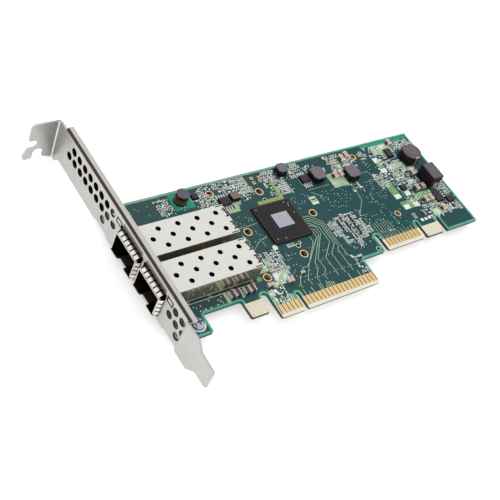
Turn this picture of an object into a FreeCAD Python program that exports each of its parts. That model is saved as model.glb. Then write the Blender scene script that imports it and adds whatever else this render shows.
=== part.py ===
import FreeCAD, Part
import math
import os

# Network interface card with two small-form-factor network ports.
# Millimetres. Origin: centre of the key notch of the host edge connector, on the lower
# end of its contacts, at the board's component face.
# +X runs along the board from the slot bracket to the tail, +Y from the edge connector
# up to the board's top edge, +Z out of the component face.

# ---- board ----
BOARD_T = 1.57
BOARD_SETBACK = 0.29
BOARD_RIGHT = 110.5
BOARD_TOP = 68.9
LOWER_EDGE = 12.5
FOOT_EDGE = 4.2
LUG_RIGHT = -41.87
LUG_CORNER = (-55.2, 6.6)
SPARE_TAB_A = (-24.05, -15.47)
SPARE_TAB_B_W = 10.6
CORNER_R = 0.8
ROUND_SHY = 0.01

# ---- host edge connector ----
KEY_W = 1.9
KEY_DEPTH = 8.2
EDGE_MARGIN = 0.65
FINGER_PITCH = 1.0
FINGER_W = 0.7
FINGER_LEN = 4.0
FINGER_SETBACK = 0.1
KEY_MARGIN = 0.55
FINGERS_LEFT = 11
FINGERS_RIGHT = 38
CONTACT_T = 0.05
BEVEL_H = 1.3
BEVEL_D = 0.4

# ---- sideband edge connector ----
SIDE_LEFT = 54.7
SIDE_MARGIN = 1.2
SIDE_SLOT_W = 2.5
MID_SLOT_W = 1.5
TAIL_SLOT_W = 2.1
SLOT_TOP = 21.4
SIDE_FINGER_PITCH = 0.5
SIDE_FINGER_W = 0.34
SIDE_FINGER_SETBACK = 0.2
SIDE_FINGERS = 41

# ---- slot bracket, folded from one sheet ----
SHEET = 0.86
BRACKET_X = -58.3
BRACKET_W = 18.42
BRACKET_TOP = 104.3
BRACKET_LEN = 120.02
FOLD_IN = 0.14
FLANGE_DEPTH = 2.9
FLANGE_Y = (2.9, 98.2)
TAB_REACH = 11.43
TAB_Z = (-5.2, 14.4)
TAB_NOTCH_Z = 3.9
TAB_NOTCH_W = 4.0
TAB_NOTCH_DEPTH = 3.9
TAB_COVE_OUT = 6.7
TAB_COVE_R = 2.2
TAB_COVE_TOP = 0.9
TAB_CORNER_R = 2.4
TAB_EASE_R = 0.4
TAB_TIP_OUT = 1.7
TAB_TIP_Z = (-2.3, -4.1)
TAB_TIP_BACK = 0.6
TAB_TIP_R = 1.0
TAB_FLARE = 1.6
NECK_RUN = (4.6, 2.0)
NECK_R = (0.6, 1.3)
BEND_SHY = 0.1
TONGUE_W = 10.19
TONGUE_START = -4.3
TONGUE_R = 1.5
TONGUE_EASE_R = 0.8
TONGUE_TIP_R = 1.2
JOG_TOP = 4.6
JOG_RUN = 1.0
JOG_OUT = 0.7
VENT_R = 1.75
VENT_PITCH = 4.52
VENT_COUNT = 9
LOW_VENT_COUNT = 3
VENT_ROW_Z = (6.75, 11.2)
VENT_PORT_GAP = 4.64
VENT_STAGGER = 2.5
LOW_VENT_PORT_GAP = 4.4
LOW_VENT_STAGGER = 2.3
SIDE_VENT_Z = 2.5
SIDE_VENT_STEP = 6
SCREEN_T = 0.3
SCREEN_BORDER = 0.8
SCREEN_PITCHES = 6.5

# ---- ears and screws that carry the bracket on the board ----
SCREW_XY = ((-46.2, 9.0), (-50.4, 62.4))
EAR_W = 8.0
EAR_REACH = 4.4
SCREW_R = 1.5
SCREW_HOLE_R = 1.7
EAR_HOLE_R = 1.55
SCREW_HEAD_R = 2.7
SCREW_HEAD_H = 2.0
SCREW_HEAD_CHAMFER = 0.8
SCREW_END = 0.8
EAR_CORNER = 2.0
EAR_RELIEF = 0.6

# ---- port cages ----
CAGE_W = 14.4
CAGE_H = 9.7
CAGE_T = 0.3
CAGE_LIFT = 0.1
CAGE_PROUD = 2.2
CAGE_LENGTH = 47.3
CAGE_GAP = 3.0
PORTS_Y = 34.45
CAGE_VENT_R = 1.1
CAGE_VENT_PITCH = 8.8
CAGE_VENT_END = 4.75
CAGE_VENT_ROW = 4.0
CAGE_VENT_COUNT = 4
CAGE_LEG_PITCH = 10.0
CAGE_LEG_COUNT = 4
CAGE_LEG_END = 1.7
CAGE_LEG_PROUD = 0.73
CAGE_LEG_W = 0.5
CAGE_LEG_ROOT = 0.5
CAGE_LIP_NOTCH_W = 5.2
CAGE_LIP_NOTCH = 1.3
CAGE_LATCH = (3.6, 2.2, 3.0)
REAR_SLOT_Y = ((2.0, 5.6), (-4.8, -1.4))
REAR_SLOT_W = 0.45
REAR_SLOT_TICK = 0.65
REAR_TICK_W = 0.4
SIDE_SLOT_LEN = 3.2
LEG_CLEAR = 0.3
FLOOR_GAP_FRONT = 0.6
PORT_CLEAR_TOP = 1.5
PORT_CLEAR_SIDE = 0.1
PORT_CLEAR_LOW = 0.25
PORT_CORNER_R = 0.5

# ---- spring fingers that ground each cage against the bracket ----
SPRING_T = 0.15
SPRING_BAND = 0.7
SPRING_W = 1.7
SPRING_RISE = 1.0
SPRING_SIDE_RISE = 0.85
SPRING_REACH = 5.0
SPRING_LOW_REACH = 2.7
SPRING_ROOT = 0.3
SPRING_CREST = (0.32, 0.6)
SPRING_ROOF_COUNT = 6
SPRING_SIDE_COUNT = 4
SPRING_ROOF_END = 0.3
SPRING_SIDE_END = 0.25

# ---- receptacle inside each cage ----
SOCKET_WALL = 0.8
SOCKET_L = 9.4
SOCKET_H = 5.6
SOCKET_REAR_GAP = 1.5
SOCKET_SLOT_Z = (2.7, 4.3)
SOCKET_SLOT_DEPTH = 6.0
SOCKET_NOSE = 1.6
SOCKET_LIP = 0.6
SOCKET_GAP = 0.4
SOCKET_CONTACTS = 10
SOCKET_PITCH = 0.8
SOCKET_END_ROOM = 1.0
SOCKET_BLADE = 0.3
BLADE_SETBACK = 0.6

# ---- holes of the board: (x, y), radius ----
HEATSINK_XY = (14.8, 40.6)
HEATSINK_PCD = 34.6
HEATSINK_HOLE_R = 1.6
TOOL_HOLES = (((-7.6, 62.9), 1.6), ((-7.6, 18.3), 1.6), ((72.4, 62.8), 1.3), ((72.4, 28.0), 1.3))
PILOT_HOLES = (((49.8, 14.7), 0.8), ((14.8, 53.1), 0.7), ((14.8, 27.7), 0.7))

# ---- controller package ----
PACKAGE_SIDE = 19.5
PACKAGE_T = 1.1
DIE_X = 8.2
DIE_Y = 7.2
DIE_T = 0.8

# ---- moulded power chokes: centre, side, height, corner cut ----
CHOKES = (((30.8, 64.9), 5.2, 3.2, 1.1), ((45.9, 57.4), 6.8, 3.4, 1.3), ((63.6, 53.6), 6.8, 3.4, 1.3))
CHOKE_PAD_T = 0.2
CHOKE_PAD_REACH = 1.8
CHOKE_PAD_SHARE = 0.55
CHOKE_CHAMFER = 0.25

# ---- drum choke: ferrite spool with an open winding ----
DRUM_XY = (-22.0, 63.2)
DRUM_BASE_R = 2.9
DRUM_BASE_T = 1.2
DRUM_NECK_R = 1.7
DRUM_WINDING_R = 2.5
DRUM_TOP_R = 2.65
DRUM_TOP_T = 1.7
DRUM_H = 4.8

# ---- round shielded choke ----
ROUND_XY = (101.2, 54.7)
ROUND_R = 4.95
ROUND_H = 4.7
ROUND_BASE = 0.5
ROUND_CHAMFER = 0.35
ROUND_NOTCH_W = 2.2
ROUND_NOTCH_DEPTH = 0.7
ROUND_CLIP_T = 0.4

# ---- block choke on strap feet ----
TALL_XY = (101.3, 40.1)
TALL_SIZE = (6.6, 9.4, 7.0)
TALL_STAND = 0.4
TALL_CHAMFER = 0.3
STRAP_W = 2.4
STRAP_T = 0.5
STRAP_H = 3.4
STRAP_FOOT = 3.0

# ---- chips with leads: centre, body size, leads a side, pitch, direction of the leads ----
SO_CHIPS = (((-3.8, 57.1), (4.9, 3.9, 1.5), 4, 1.27, "y"),
            ((39.6, 57.8), (4.6, 4.0, 1.3), 4, 1.1, "y"),
            ((92.0, 59.6), (3.5, 4.9, 1.4), 4, 1.1, "x"),
            ((99.6, 30.0), (4.4, 5.6, 1.2), 4, 1.27, "x"))
LEAD_REACH = 1.2
LEAD_W = 0.4
LEAD_T = 0.15
LEAD_STAND = 0.15
LEAD_SHOULDER = 0.35
LEAD_SLOPE = 0.15
LEAD_INNER = 0.12
CHIP_CHAMFER = 0.15

# ---- chips without leads: centre, size ----
FLAT_CHIPS = (((85.4, 39.8), (3.2, 3.0, 0.9)), ((105.2, 27.2), (3.6, 3.4, 0.9)),
              ((-15.0, 63.3), (2.9, 2.4, 1.1)))
GREY_BLOCK = ((1.2, 57.8), (3.9, 3.7, 2.5))

# ---- two-ended chips standing on the board: centre, size, end length, direction of the length ----
CERAMIC_SIZE = (2.3, 3.0, 1.8)
CERAMIC_CAP = 0.5
CERAMICS = ((91.9, 37.4), (95.5, 37.4), (91.7, 30.1), (94.8, 30.3), (96.1, 45.9), (97.4, 23.3),
            (96.2, 65.2), (68.3, 64.4), (65.0, 63.0), (55.3, 55.2), (58.4, 55.2))
EDGE_CHIPS = (((-9.3, 14.2), (2.8, 1.7, 1.8)), ((0.4, 13.4), (2.4, 2.2, 1.8)),
              ((38.0, 14.0), (1.9, 1.1, 1.0)), ((8.0, 15.2), (1.9, 1.1, 1.0)),
              ((-3.6, 22.6), (1.9, 1.1, 1.0)))
EDGE_CHIP_CAP = 0.4
FILTER_X = (-26.9, -24.2, -20.1, -17.4)
FILTER_GAP = (1.4, 1.4, 1.6, 1.6)
FILTER_SIZE = (2.5, 3.1, 1.8)
FILTER_CAP = 0.4

# ---- places and sizes that follow from the ones above ----
BOARD_BACK = -BOARD_T
BRACKET_IN = BRACKET_X + SHEET
BRACKET_LOW = BOARD_BACK - SHEET
BRACKET_HIGH = BRACKET_LOW + BRACKET_W
FOLD_R = SHEET + FOLD_IN
BOARD_LEFT = BRACKET_IN + BOARD_SETBACK

FIRST_FINGER = KEY_W / 2 + KEY_MARGIN
EDGE_LEFT = -(FIRST_FINGER + FINGER_PITCH * (FINGERS_LEFT - 1) + EDGE_MARGIN)
EDGE_RIGHT = FIRST_FINGER + FINGER_PITCH * (FINGERS_RIGHT - 1) + EDGE_MARGIN
FINGER_Y = (BEVEL_H + FINGER_SETBACK, BEVEL_H + FINGER_SETBACK + FINGER_LEN)
SIDE_RIGHT = SIDE_LEFT + SIDE_FINGER_PITCH * (SIDE_FINGERS - 1) + 2 * SIDE_MARGIN
SIDE_SLOT_LEFT = SIDE_LEFT - SIDE_SLOT_W
SPARE_TAB_B = (SIDE_RIGHT + MID_SLOT_W, SIDE_RIGHT + MID_SLOT_W + SPARE_TAB_B_W)
TAIL_LEFT = SPARE_TAB_B[1] + TAIL_SLOT_W
SIDE_FINGER_LOW = LOWER_EDGE + BEVEL_H + SIDE_FINGER_SETBACK
SIDE_FINGER_Y = (SIDE_FINGER_LOW, SIDE_FINGER_LOW + FINGER_LEN)

CAGE_FRONT = BRACKET_X - CAGE_PROUD
CAGE_REAR = CAGE_FRONT + CAGE_LENGTH
CAGE_TOP = CAGE_LIFT + CAGE_H
CAGE_Y = (PORTS_Y + (CAGE_W + CAGE_GAP) / 2, PORTS_Y - (CAGE_W + CAGE_GAP) / 2)
CAGE_LEG_X = CAGE_REAR - CAGE_LEG_END - CAGE_LEG_PITCH * (CAGE_LEG_COUNT - 1)
CAGE_LEG_DROP = BOARD_T + CAGE_LEG_PROUD
CAGE_VENT_X = CAGE_REAR - CAGE_VENT_END - CAGE_VENT_PITCH * (CAGE_VENT_COUNT - 1)
LEG_HOLE = (CAGE_LEG_W + LEG_CLEAR, CAGE_T + LEG_CLEAR)
PORT_HALF = CAGE_W / 2 + SPRING_SIDE_RISE + PORT_CLEAR_SIDE
PORT_Z = (CAGE_LIFT - SPRING_SIDE_RISE - PORT_CLEAR_LOW, CAGE_TOP + SPRING_RISE + PORT_CLEAR_TOP)
VENT_TOP = CAGE_Y[0] + PORT_HALF + VENT_PORT_GAP + VENT_PITCH * (VENT_COUNT - 1)
VENT_TOP_Y = (VENT_TOP, VENT_TOP - VENT_STAGGER)
LOW_VENT_TOP = CAGE_Y[1] - PORT_HALF - LOW_VENT_PORT_GAP
LOW_VENT_TOP_Y = (LOW_VENT_TOP, LOW_VENT_TOP - LOW_VENT_STAGGER)

SOCKET_SLOT_W = SOCKET_PITCH * (SOCKET_CONTACTS - 1) + 2 * SOCKET_END_ROOM
SOCKET_W = SOCKET_SLOT_W + 2 * SOCKET_WALL
SOCKET_FRONT = CAGE_REAR - CAGE_T - SOCKET_REAR_GAP - SOCKET_L
FILTER_ROW = CAGE_Y[1] - CAGE_W / 2 - FILTER_SIZE[1] / 2


def vec(x, y, z):
    return FreeCAD.Vector(x, y, z)


def box(lo, hi):
    """Block between two opposite corners."""
    size = [hi[i] - lo[i] for i in range(3)]
    return Part.makeBox(size[0], size[1], size[2], vec(*lo))


def block(centre, size, z0=0.0):
    """Block of size (x, y, z) centred in plan on centre, standing on z0."""
    x, y = centre
    lo = (x - size[0] / 2, y - size[1] / 2, z0)
    hi = (x + size[0] / 2, y + size[1] / 2, z0 + size[2])
    return box(lo, hi)


def post(centre, radius, z0, z1):
    """Upright cylinder."""
    return Part.makeCylinder(radius, z1 - z0, vec(centre[0], centre[1], z0))


def fuse(shapes):
    joined = shapes[0].multiFuse(shapes[1:])
    return joined.removeSplitter()


def place(plane, a, b):
    """Point (a, b) of a drawing plane: board plan xy, bracket face yz or fold section xz."""
    if plane == "xy":
        return vec(a, b, 0)
    if plane == "yz":
        return vec(0, a, b)
    return vec(a, 0, b)


def rise(plane, start, end):
    """Shift and extrusion vectors square to a drawing plane."""
    axis = {"xy": vec(0, 0, 1), "yz": vec(1, 0, 0), "xz": vec(0, 1, 0)}[plane]
    return axis * start, axis * (end - start)


def outline(plane, corners, start, end):
    """Solid from a closed outline; each corner is (a, b) or (a, b, fillet radius)."""
    edges = []
    leave = []
    count = len(corners)
    for i in range(count):
        here = place(plane, corners[i][0], corners[i][1])
        radius = corners[i][2] if len(corners[i]) > 2 else 0.0
        if radius == 0.0:
            leave.append((here, here, None))
            continue
        before = place(plane, corners[i - 1][0], corners[i - 1][1])
        after = place(plane, corners[(i + 1) % count][0], corners[(i + 1) % count][1])
        to_before = (before - here).normalize()
        to_after = (after - here).normalize()
        half = to_before.getAngle(to_after) / 2
        run = radius / math.tan(half)
        bisector = (to_before + to_after).normalize()
        middle = here + bisector * (radius / math.sin(half) - radius)
        leave.append((here + to_before * run, here + to_after * run, middle))
    for i in range(count):
        arrive, depart, middle = leave[i]
        if middle is not None:
            edges.append(Part.Arc(arrive, middle, depart).toShape())
        following = leave[(i + 1) % count][0]
        if depart.distanceToPoint(following) > 1e-6:
            edges.append(Part.makeLine(depart, following))
    face = Part.Face(Part.Wire(edges))
    shift, sweep = rise(plane, start, end)
    face.translate(shift)
    return face.extrude(sweep)


def fold(plane, centre, r_in, r_out, from_deg, start, end):
    """Quarter of a sheet-metal fold: a ring sector of 90 degrees, extruded along the fold."""
    def at(radius, degrees):
        angle = math.radians(degrees)
        return place(plane, centre[0] + radius * math.cos(angle), centre[1] + radius * math.sin(angle))
    to_deg = from_deg + 90
    mid_deg = from_deg + 45
    outer = Part.Arc(at(r_out, from_deg), at(r_out, mid_deg), at(r_out, to_deg)).toShape()
    inner = Part.Arc(at(r_in, to_deg), at(r_in, mid_deg), at(r_in, from_deg)).toShape()
    sides = [Part.makeLine(at(r_out, to_deg), at(r_in, to_deg)),
             Part.makeLine(at(r_in, from_deg), at(r_out, from_deg))]
    face = Part.Face(Part.Wire([outer, sides[0], inner, sides[1]]))
    shift, sweep = rise(plane, start, end)
    face.translate(shift)
    return face.extrude(sweep)


def save(node, shapes):
    """Write one node: a single solid, or a group of separate solids."""
    shape = shapes if not isinstance(shapes, list) else Part.makeCompound(shapes)
    shape.exportStep("parts/" + node + ".step")


def heatsink_holes():
    """Four holes on a circle round the controller, on the board's own axes."""
    x, y = HEATSINK_XY
    r = HEATSINK_PCD / 2
    return [(x, y + r), (x + r, y), (x, y - r), (x - r, y)]


def leg_points(cage_y):
    """Where the legs of one cage pass through the board, under both side walls."""
    wall = (CAGE_W - CAGE_T) / 2
    return [(CAGE_LEG_X + CAGE_LEG_PITCH * i, cage_y + side * wall)
            for i in range(CAGE_LEG_COUNT) for side in (-1, 1)]


def finger_centres():
    """Contact centres of the host edge connector, both sections."""
    left = [-FIRST_FINGER - FINGER_PITCH * i for i in range(FINGERS_LEFT)]
    right = [FIRST_FINGER + FINGER_PITCH * i for i in range(FINGERS_RIGHT)]
    return left[::-1] + right


def side_finger_centres():
    middle = (SIDE_LEFT + SIDE_RIGHT) / 2
    first = middle - SIDE_FINGER_PITCH * (SIDE_FINGERS - 1) / 2
    return [first + SIDE_FINGER_PITCH * i for i in range(SIDE_FINGERS)]


def edge_bevel(x0, x1, y_edge, face_z, inward):
    """Wedge that bevels one face of an edge connector's leading edge."""
    wedge = [vec(x0, y_edge - 1, face_z - inward * (BEVEL_D * (1 + 1 / BEVEL_H))),
             vec(x0, y_edge + BEVEL_H, face_z),
             vec(x0, y_edge + BEVEL_H, face_z + inward),
             vec(x0, y_edge - 1, face_z + inward)]
    face = Part.Face(Part.makePolygon(wedge + [wedge[0]]))
    return face.extrude(vec(x1 - x0, 0, 0))


def circuit_board():
    slot_r = (SIDE_LEFT - SIDE_SLOT_LEFT) / 2 - ROUND_SHY
    mid_slot_r = (SPARE_TAB_B[0] - SIDE_RIGHT) / 2 - ROUND_SHY
    tail_slot_r = (TAIL_LEFT - SPARE_TAB_B[1]) / 2 - ROUND_SHY
    key_r = KEY_W / 2 - ROUND_SHY
    front_slot_r = (EDGE_LEFT - SPARE_TAB_A[1]) / 2 - ROUND_SHY
    corners = [
        (BOARD_LEFT, BOARD_TOP), (BOARD_RIGHT, BOARD_TOP), (BOARD_RIGHT, LOWER_EDGE),
        (TAIL_LEFT, LOWER_EDGE, CORNER_R), (TAIL_LEFT, SLOT_TOP, tail_slot_r),
        (SPARE_TAB_B[1], SLOT_TOP, tail_slot_r), (SPARE_TAB_B[1], LOWER_EDGE, CORNER_R),
        (SPARE_TAB_B[0], LOWER_EDGE, CORNER_R), (SPARE_TAB_B[0], SLOT_TOP, mid_slot_r),
        (SIDE_RIGHT, SLOT_TOP, mid_slot_r), (SIDE_RIGHT, LOWER_EDGE, CORNER_R),
        (SIDE_LEFT, LOWER_EDGE, CORNER_R), (SIDE_LEFT, SLOT_TOP, slot_r),
        (SIDE_SLOT_LEFT, SLOT_TOP, slot_r), (SIDE_SLOT_LEFT, LOWER_EDGE, CORNER_R),
        (EDGE_RIGHT, LOWER_EDGE, CORNER_R), (EDGE_RIGHT, 0, CORNER_R),
        (KEY_W / 2, 0, CORNER_R / 2), (KEY_W / 2, KEY_DEPTH, key_r),
        (-KEY_W / 2, KEY_DEPTH, key_r), (-KEY_W / 2, 0, CORNER_R / 2),
        (EDGE_LEFT, 0, CORNER_R), (EDGE_LEFT, LOWER_EDGE, front_slot_r),
        (SPARE_TAB_A[1], LOWER_EDGE, front_slot_r), (SPARE_TAB_A[1], FOOT_EDGE, CORNER_R),
        (SPARE_TAB_A[0], FOOT_EDGE, CORNER_R), (SPARE_TAB_A[0], LOWER_EDGE, CORNER_R),
        (LUG_RIGHT, LOWER_EDGE, CORNER_R), (LUG_RIGHT, FOOT_EDGE, CORNER_R),
        (LUG_CORNER[0], FOOT_EDGE), (LUG_CORNER[0], LUG_CORNER[1]), (BOARD_LEFT, LUG_CORNER[1]),
    ]
    board = outline("xy", corners, BOARD_BACK, 0)
    cuts = []
    for x0, x1, y_edge in ((EDGE_LEFT, EDGE_RIGHT, 0.0), (SIDE_LEFT, SIDE_RIGHT, LOWER_EDGE)):
        cuts.append(edge_bevel(x0, x1, y_edge, 0.0, 1))
        cuts.append(edge_bevel(x0, x1, y_edge, BOARD_BACK, -1))
    deep = BOARD_BACK - 1
    for centre in heatsink_holes():
        cuts.append(post(centre, HEATSINK_HOLE_R, deep, 1))
    for centre, radius in TOOL_HOLES + PILOT_HOLES:
        cuts.append(post(centre, radius, deep, 1))
    for centre in SCREW_XY:
        cuts.append(post(centre, SCREW_HOLE_R, deep, 1))
    for cage_y in CAGE_Y:
        for centre in leg_points(cage_y):
            cuts.append(block(centre, LEG_HOLE + (1 - deep,), deep))
    return board.cut(Part.makeCompound(cuts))


def contact_strips(centres, width, y_span):
    """Gold contacts on both faces of the board, one strip per contact and face."""
    front = []
    back = []
    for x in centres:
        x0 = x - width / 2
        x1 = x + width / 2
        front.append(box((x0, y_span[0], 0), (x1, y_span[1], CONTACT_T)))
        back.append(box((x0, y_span[0], BOARD_BACK - CONTACT_T), (x1, y_span[1], BOARD_BACK)))
    return front, back


def bracket_tab():
    """Tab folded outward at the top, with its screw notch, its finger and its side cove."""
    outer = BRACKET_X - TAB_REACH
    inner = BRACKET_X - FOLD_IN
    low, high = TAB_Z
    notch_low = TAB_NOTCH_Z - TAB_NOTCH_W / 2
    notch_high = TAB_NOTCH_Z + TAB_NOTCH_W / 2
    notch_in = outer + TAB_NOTCH_DEPTH
    notch_r = TAB_NOTCH_W / 2 - BEND_SHY
    cove_out = BRACKET_X - TAB_COVE_OUT - TAB_COVE_R
    cove_in = BRACKET_X - TAB_COVE_OUT + TAB_COVE_R
    cove_r = TAB_COVE_R - BEND_SHY
    tip = outer - TAB_TIP_OUT
    tip_high, tip_low = TAB_TIP_Z
    corners = [
        (inner, low), (inner, high), (outer, high, TAB_CORNER_R),
        (outer, notch_high, TAB_EASE_R), (notch_in, notch_high, notch_r),
        (notch_in, notch_low, notch_r), (outer, notch_low, TAB_EASE_R),
        (tip, tip_high, TAB_TIP_R), (tip + TAB_TIP_BACK, tip_low, TAB_TIP_R),
        (cove_out, tip_low, TAB_TIP_R), (cove_out, TAB_COVE_TOP, cove_r),
        (cove_in, TAB_COVE_TOP, cove_r), (cove_in, low + TAB_FLARE, TAB_EASE_R),
    ]
    return outline("xz", corners, BRACKET_TOP - SHEET, BRACKET_TOP)


def bracket_face():
    """Flat face of the bracket, from the joggle up to the wider neck at the tab fold."""
    low = BRACKET_LOW
    high = BRACKET_HIGH - FOLD_R
    top = BRACKET_TOP - SHEET - FOLD_IN
    corners = [
        (JOG_TOP, low), (top - NECK_RUN[0], low, NECK_R[0]), (top - NECK_RUN[1], TAB_Z[0], NECK_R[1]),
        (top, TAB_Z[0]), (top, TAB_Z[1]), (top - FOLD_R, high), (JOG_TOP, high),
    ]
    return outline("yz", corners, BRACKET_X, BRACKET_IN)


def bracket_tongue():
    """Joggled foot that drops into the chassis slot."""
    face_x = BRACKET_X - JOG_OUT
    middle = BRACKET_LOW + BRACKET_W / 2
    low = middle - TONGUE_W / 2
    high = middle + TONGUE_W / 2
    tip = BRACKET_TOP - BRACKET_LEN
    side = BRACKET_HIGH - FOLD_R
    jog_low = JOG_TOP - JOG_RUN
    corners = [
        (jog_low, BRACKET_LOW), (jog_low, side), (TONGUE_START, side, TONGUE_EASE_R),
        (TONGUE_START - (side - high), high, TONGUE_R), (tip, high, TONGUE_TIP_R),
        (tip, low, TONGUE_TIP_R), (TONGUE_START - (low - BRACKET_LOW), low, TONGUE_R),
        (TONGUE_START, BRACKET_LOW, TONGUE_EASE_R),
    ]
    plate = outline("yz", corners, face_x, face_x + SHEET)
    jog = outline("xy", [(BRACKET_X, JOG_TOP), (BRACKET_IN, JOG_TOP),
                         (face_x + SHEET, jog_low), (face_x, jog_low)], BRACKET_LOW, side)
    return [plate, jog]


def bracket_ear(centre):
    """Ear folded inward under the board, with the tapped hole for its screw."""
    x, y = centre
    y0 = y - EAR_W / 2
    y1 = y + EAR_W / 2
    low = BRACKET_LOW
    bend = fold("xz", (BRACKET_X + FOLD_R, low + FOLD_R), FOLD_IN, FOLD_R, 180, y0, y1)
    end = x + EAR_REACH
    plate = outline("xy", [(BRACKET_X + FOLD_R, y0), (end, y0, EAR_CORNER),
                           (end, y1, EAR_CORNER), (BRACKET_X + FOLD_R, y1)], low, low + SHEET)
    return [bend, plate]


def vent_points():
    """Vent holes of the face: two staggered rows above the ports and a short set below."""
    points = []
    for row in (0, 1):
        for i in range(VENT_COUNT - row):
            points.append((VENT_TOP_Y[row] - VENT_PITCH * i, VENT_ROW_Z[row]))
        for i in range(LOW_VENT_COUNT - row):
            points.append((LOW_VENT_TOP_Y[row] - VENT_PITCH * i, VENT_ROW_Z[row]))
    points.append((VENT_TOP_Y[1] - VENT_PITCH * SIDE_VENT_STEP, SIDE_VENT_Z))
    points.append((LOW_VENT_TOP_Y[1] - VENT_PITCH, SIDE_VENT_Z))
    return points


def port_window(cage_y):
    """Opening of the face that clears one cage and its spring fingers."""
    half = PORT_HALF
    low, high = PORT_Z
    r = PORT_CORNER_R
    corners = [(cage_y - half, low, r), (cage_y + half, low, r),
               (cage_y + half, high, r), (cage_y - half, high, r)]
    return outline("yz", corners, BRACKET_X - 1, BRACKET_IN + 1)


def mounting_bracket():
    high = BRACKET_HIGH
    flange = fold("xz", (BRACKET_X + FOLD_R, high - FOLD_R), FOLD_IN, FOLD_R, 90, *FLANGE_Y)
    lip = box((BRACKET_X + FOLD_R, FLANGE_Y[0], high - SHEET),
              (BRACKET_X + FLANGE_DEPTH, FLANGE_Y[1], high))
    tab_fold = fold("xy", (BRACKET_X - FOLD_IN, BRACKET_TOP - SHEET - FOLD_IN),
                    FOLD_IN, FOLD_R, 0, TAB_Z[0], TAB_Z[1])
    face = bracket_face()
    cuts = []
    reach = EAR_W / 2 + EAR_RELIEF
    for x, y in SCREW_XY:
        cuts.append(box((BRACKET_X - 1, y - reach, BRACKET_LOW - 1),
                        (BRACKET_IN + 1, y + reach, BRACKET_LOW + FOLD_R)))
    for y, z in vent_points():
        cuts.append(Part.makeCylinder(VENT_R, SHEET + 2, vec(BRACKET_X - 1, y, z), vec(1, 0, 0)))
    for cage_y in CAGE_Y:
        cuts.append(port_window(cage_y))
    face = face.cut(Part.makeCompound(cuts))
    pieces = [face, tab_fold, bracket_tab(), flange, lip] + bracket_tongue()
    for centre in SCREW_XY:
        pieces += bracket_ear(centre)
    bracket = fuse(pieces)
    holes = [post(centre, EAR_HOLE_R, BRACKET_LOW - 1, 0) for centre in SCREW_XY]
    return bracket.cut(Part.makeCompound(holes))


def vent_screen():
    """Thin black screen on the face's back, behind the vent rows that stand clear of the board."""
    low_z = VENT_ROW_Z[0] - VENT_R - SCREEN_BORDER
    high_z = VENT_ROW_Z[1] + VENT_R + SCREEN_BORDER
    slope = (VENT_TOP_Y[0] - VENT_TOP_Y[1]) / (VENT_ROW_Z[1] - VENT_ROW_Z[0])
    edge = VENT_TOP_Y[0] - VENT_PITCH * SCREEN_PITCHES
    top = VENT_TOP_Y[0] + VENT_R + SCREEN_BORDER
    corners = [(edge + slope * (VENT_ROW_Z[0] - low_z), low_z), (top, low_z), (top, high_z),
               (edge - slope * (high_z - VENT_ROW_Z[0]), high_z)]
    return outline("yz", corners, BRACKET_IN, BRACKET_IN + SCREEN_T)


def bracket_screw(centre):
    """Pan-head screw through the board into the ear, its head eased by a wide chamfer."""
    head = post(centre, SCREW_HEAD_R, 0, SCREW_HEAD_H)
    rim = [e for e in head.Edges if e.BoundBox.ZMin > SCREW_HEAD_H - 0.01]
    shank = post(centre, SCREW_R, BRACKET_LOW - SCREW_END, 0)
    return fuse([head.makeChamfer(SCREW_HEAD_CHAMFER, rim), shank])


def cage_seams(cage_y):
    """Slots left where the roof folds down at the rear and at both sides of its rear end."""
    cuts = []
    low = CAGE_TOP - 1
    high = CAGE_TOP + 1
    wall = CAGE_REAR - CAGE_T
    for near, far in REAR_SLOT_Y:
        middle = cage_y + (near + far) / 2
        cuts.append(box((wall - REAR_SLOT_W, cage_y + near, low), (wall, cage_y + far, high)))
        tick = (wall - REAR_SLOT_W - REAR_SLOT_TICK / 2, middle)
        cuts.append(block(tick, (REAR_SLOT_TICK, REAR_TICK_W, 2), low))
    for side in (-1, 1):
        edge = cage_y + side * (CAGE_W / 2 - CAGE_T - REAR_SLOT_W / 2)
        cuts.append(block((wall - SIDE_SLOT_LEN / 2, edge), (SIDE_SLOT_LEN, REAR_SLOT_W, 2), low))
    return cuts


def lip_notch(cage_y):
    """Notch of the mouth's lower lip, where a module's latch is reached."""
    half = CAGE_LIP_NOTCH_W / 2
    return box((CAGE_FRONT - 1, cage_y - half, CAGE_LIFT - 1),
               (CAGE_FRONT + CAGE_LIP_NOTCH, cage_y + half, CAGE_LIFT + 2 * CAGE_T))


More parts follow.
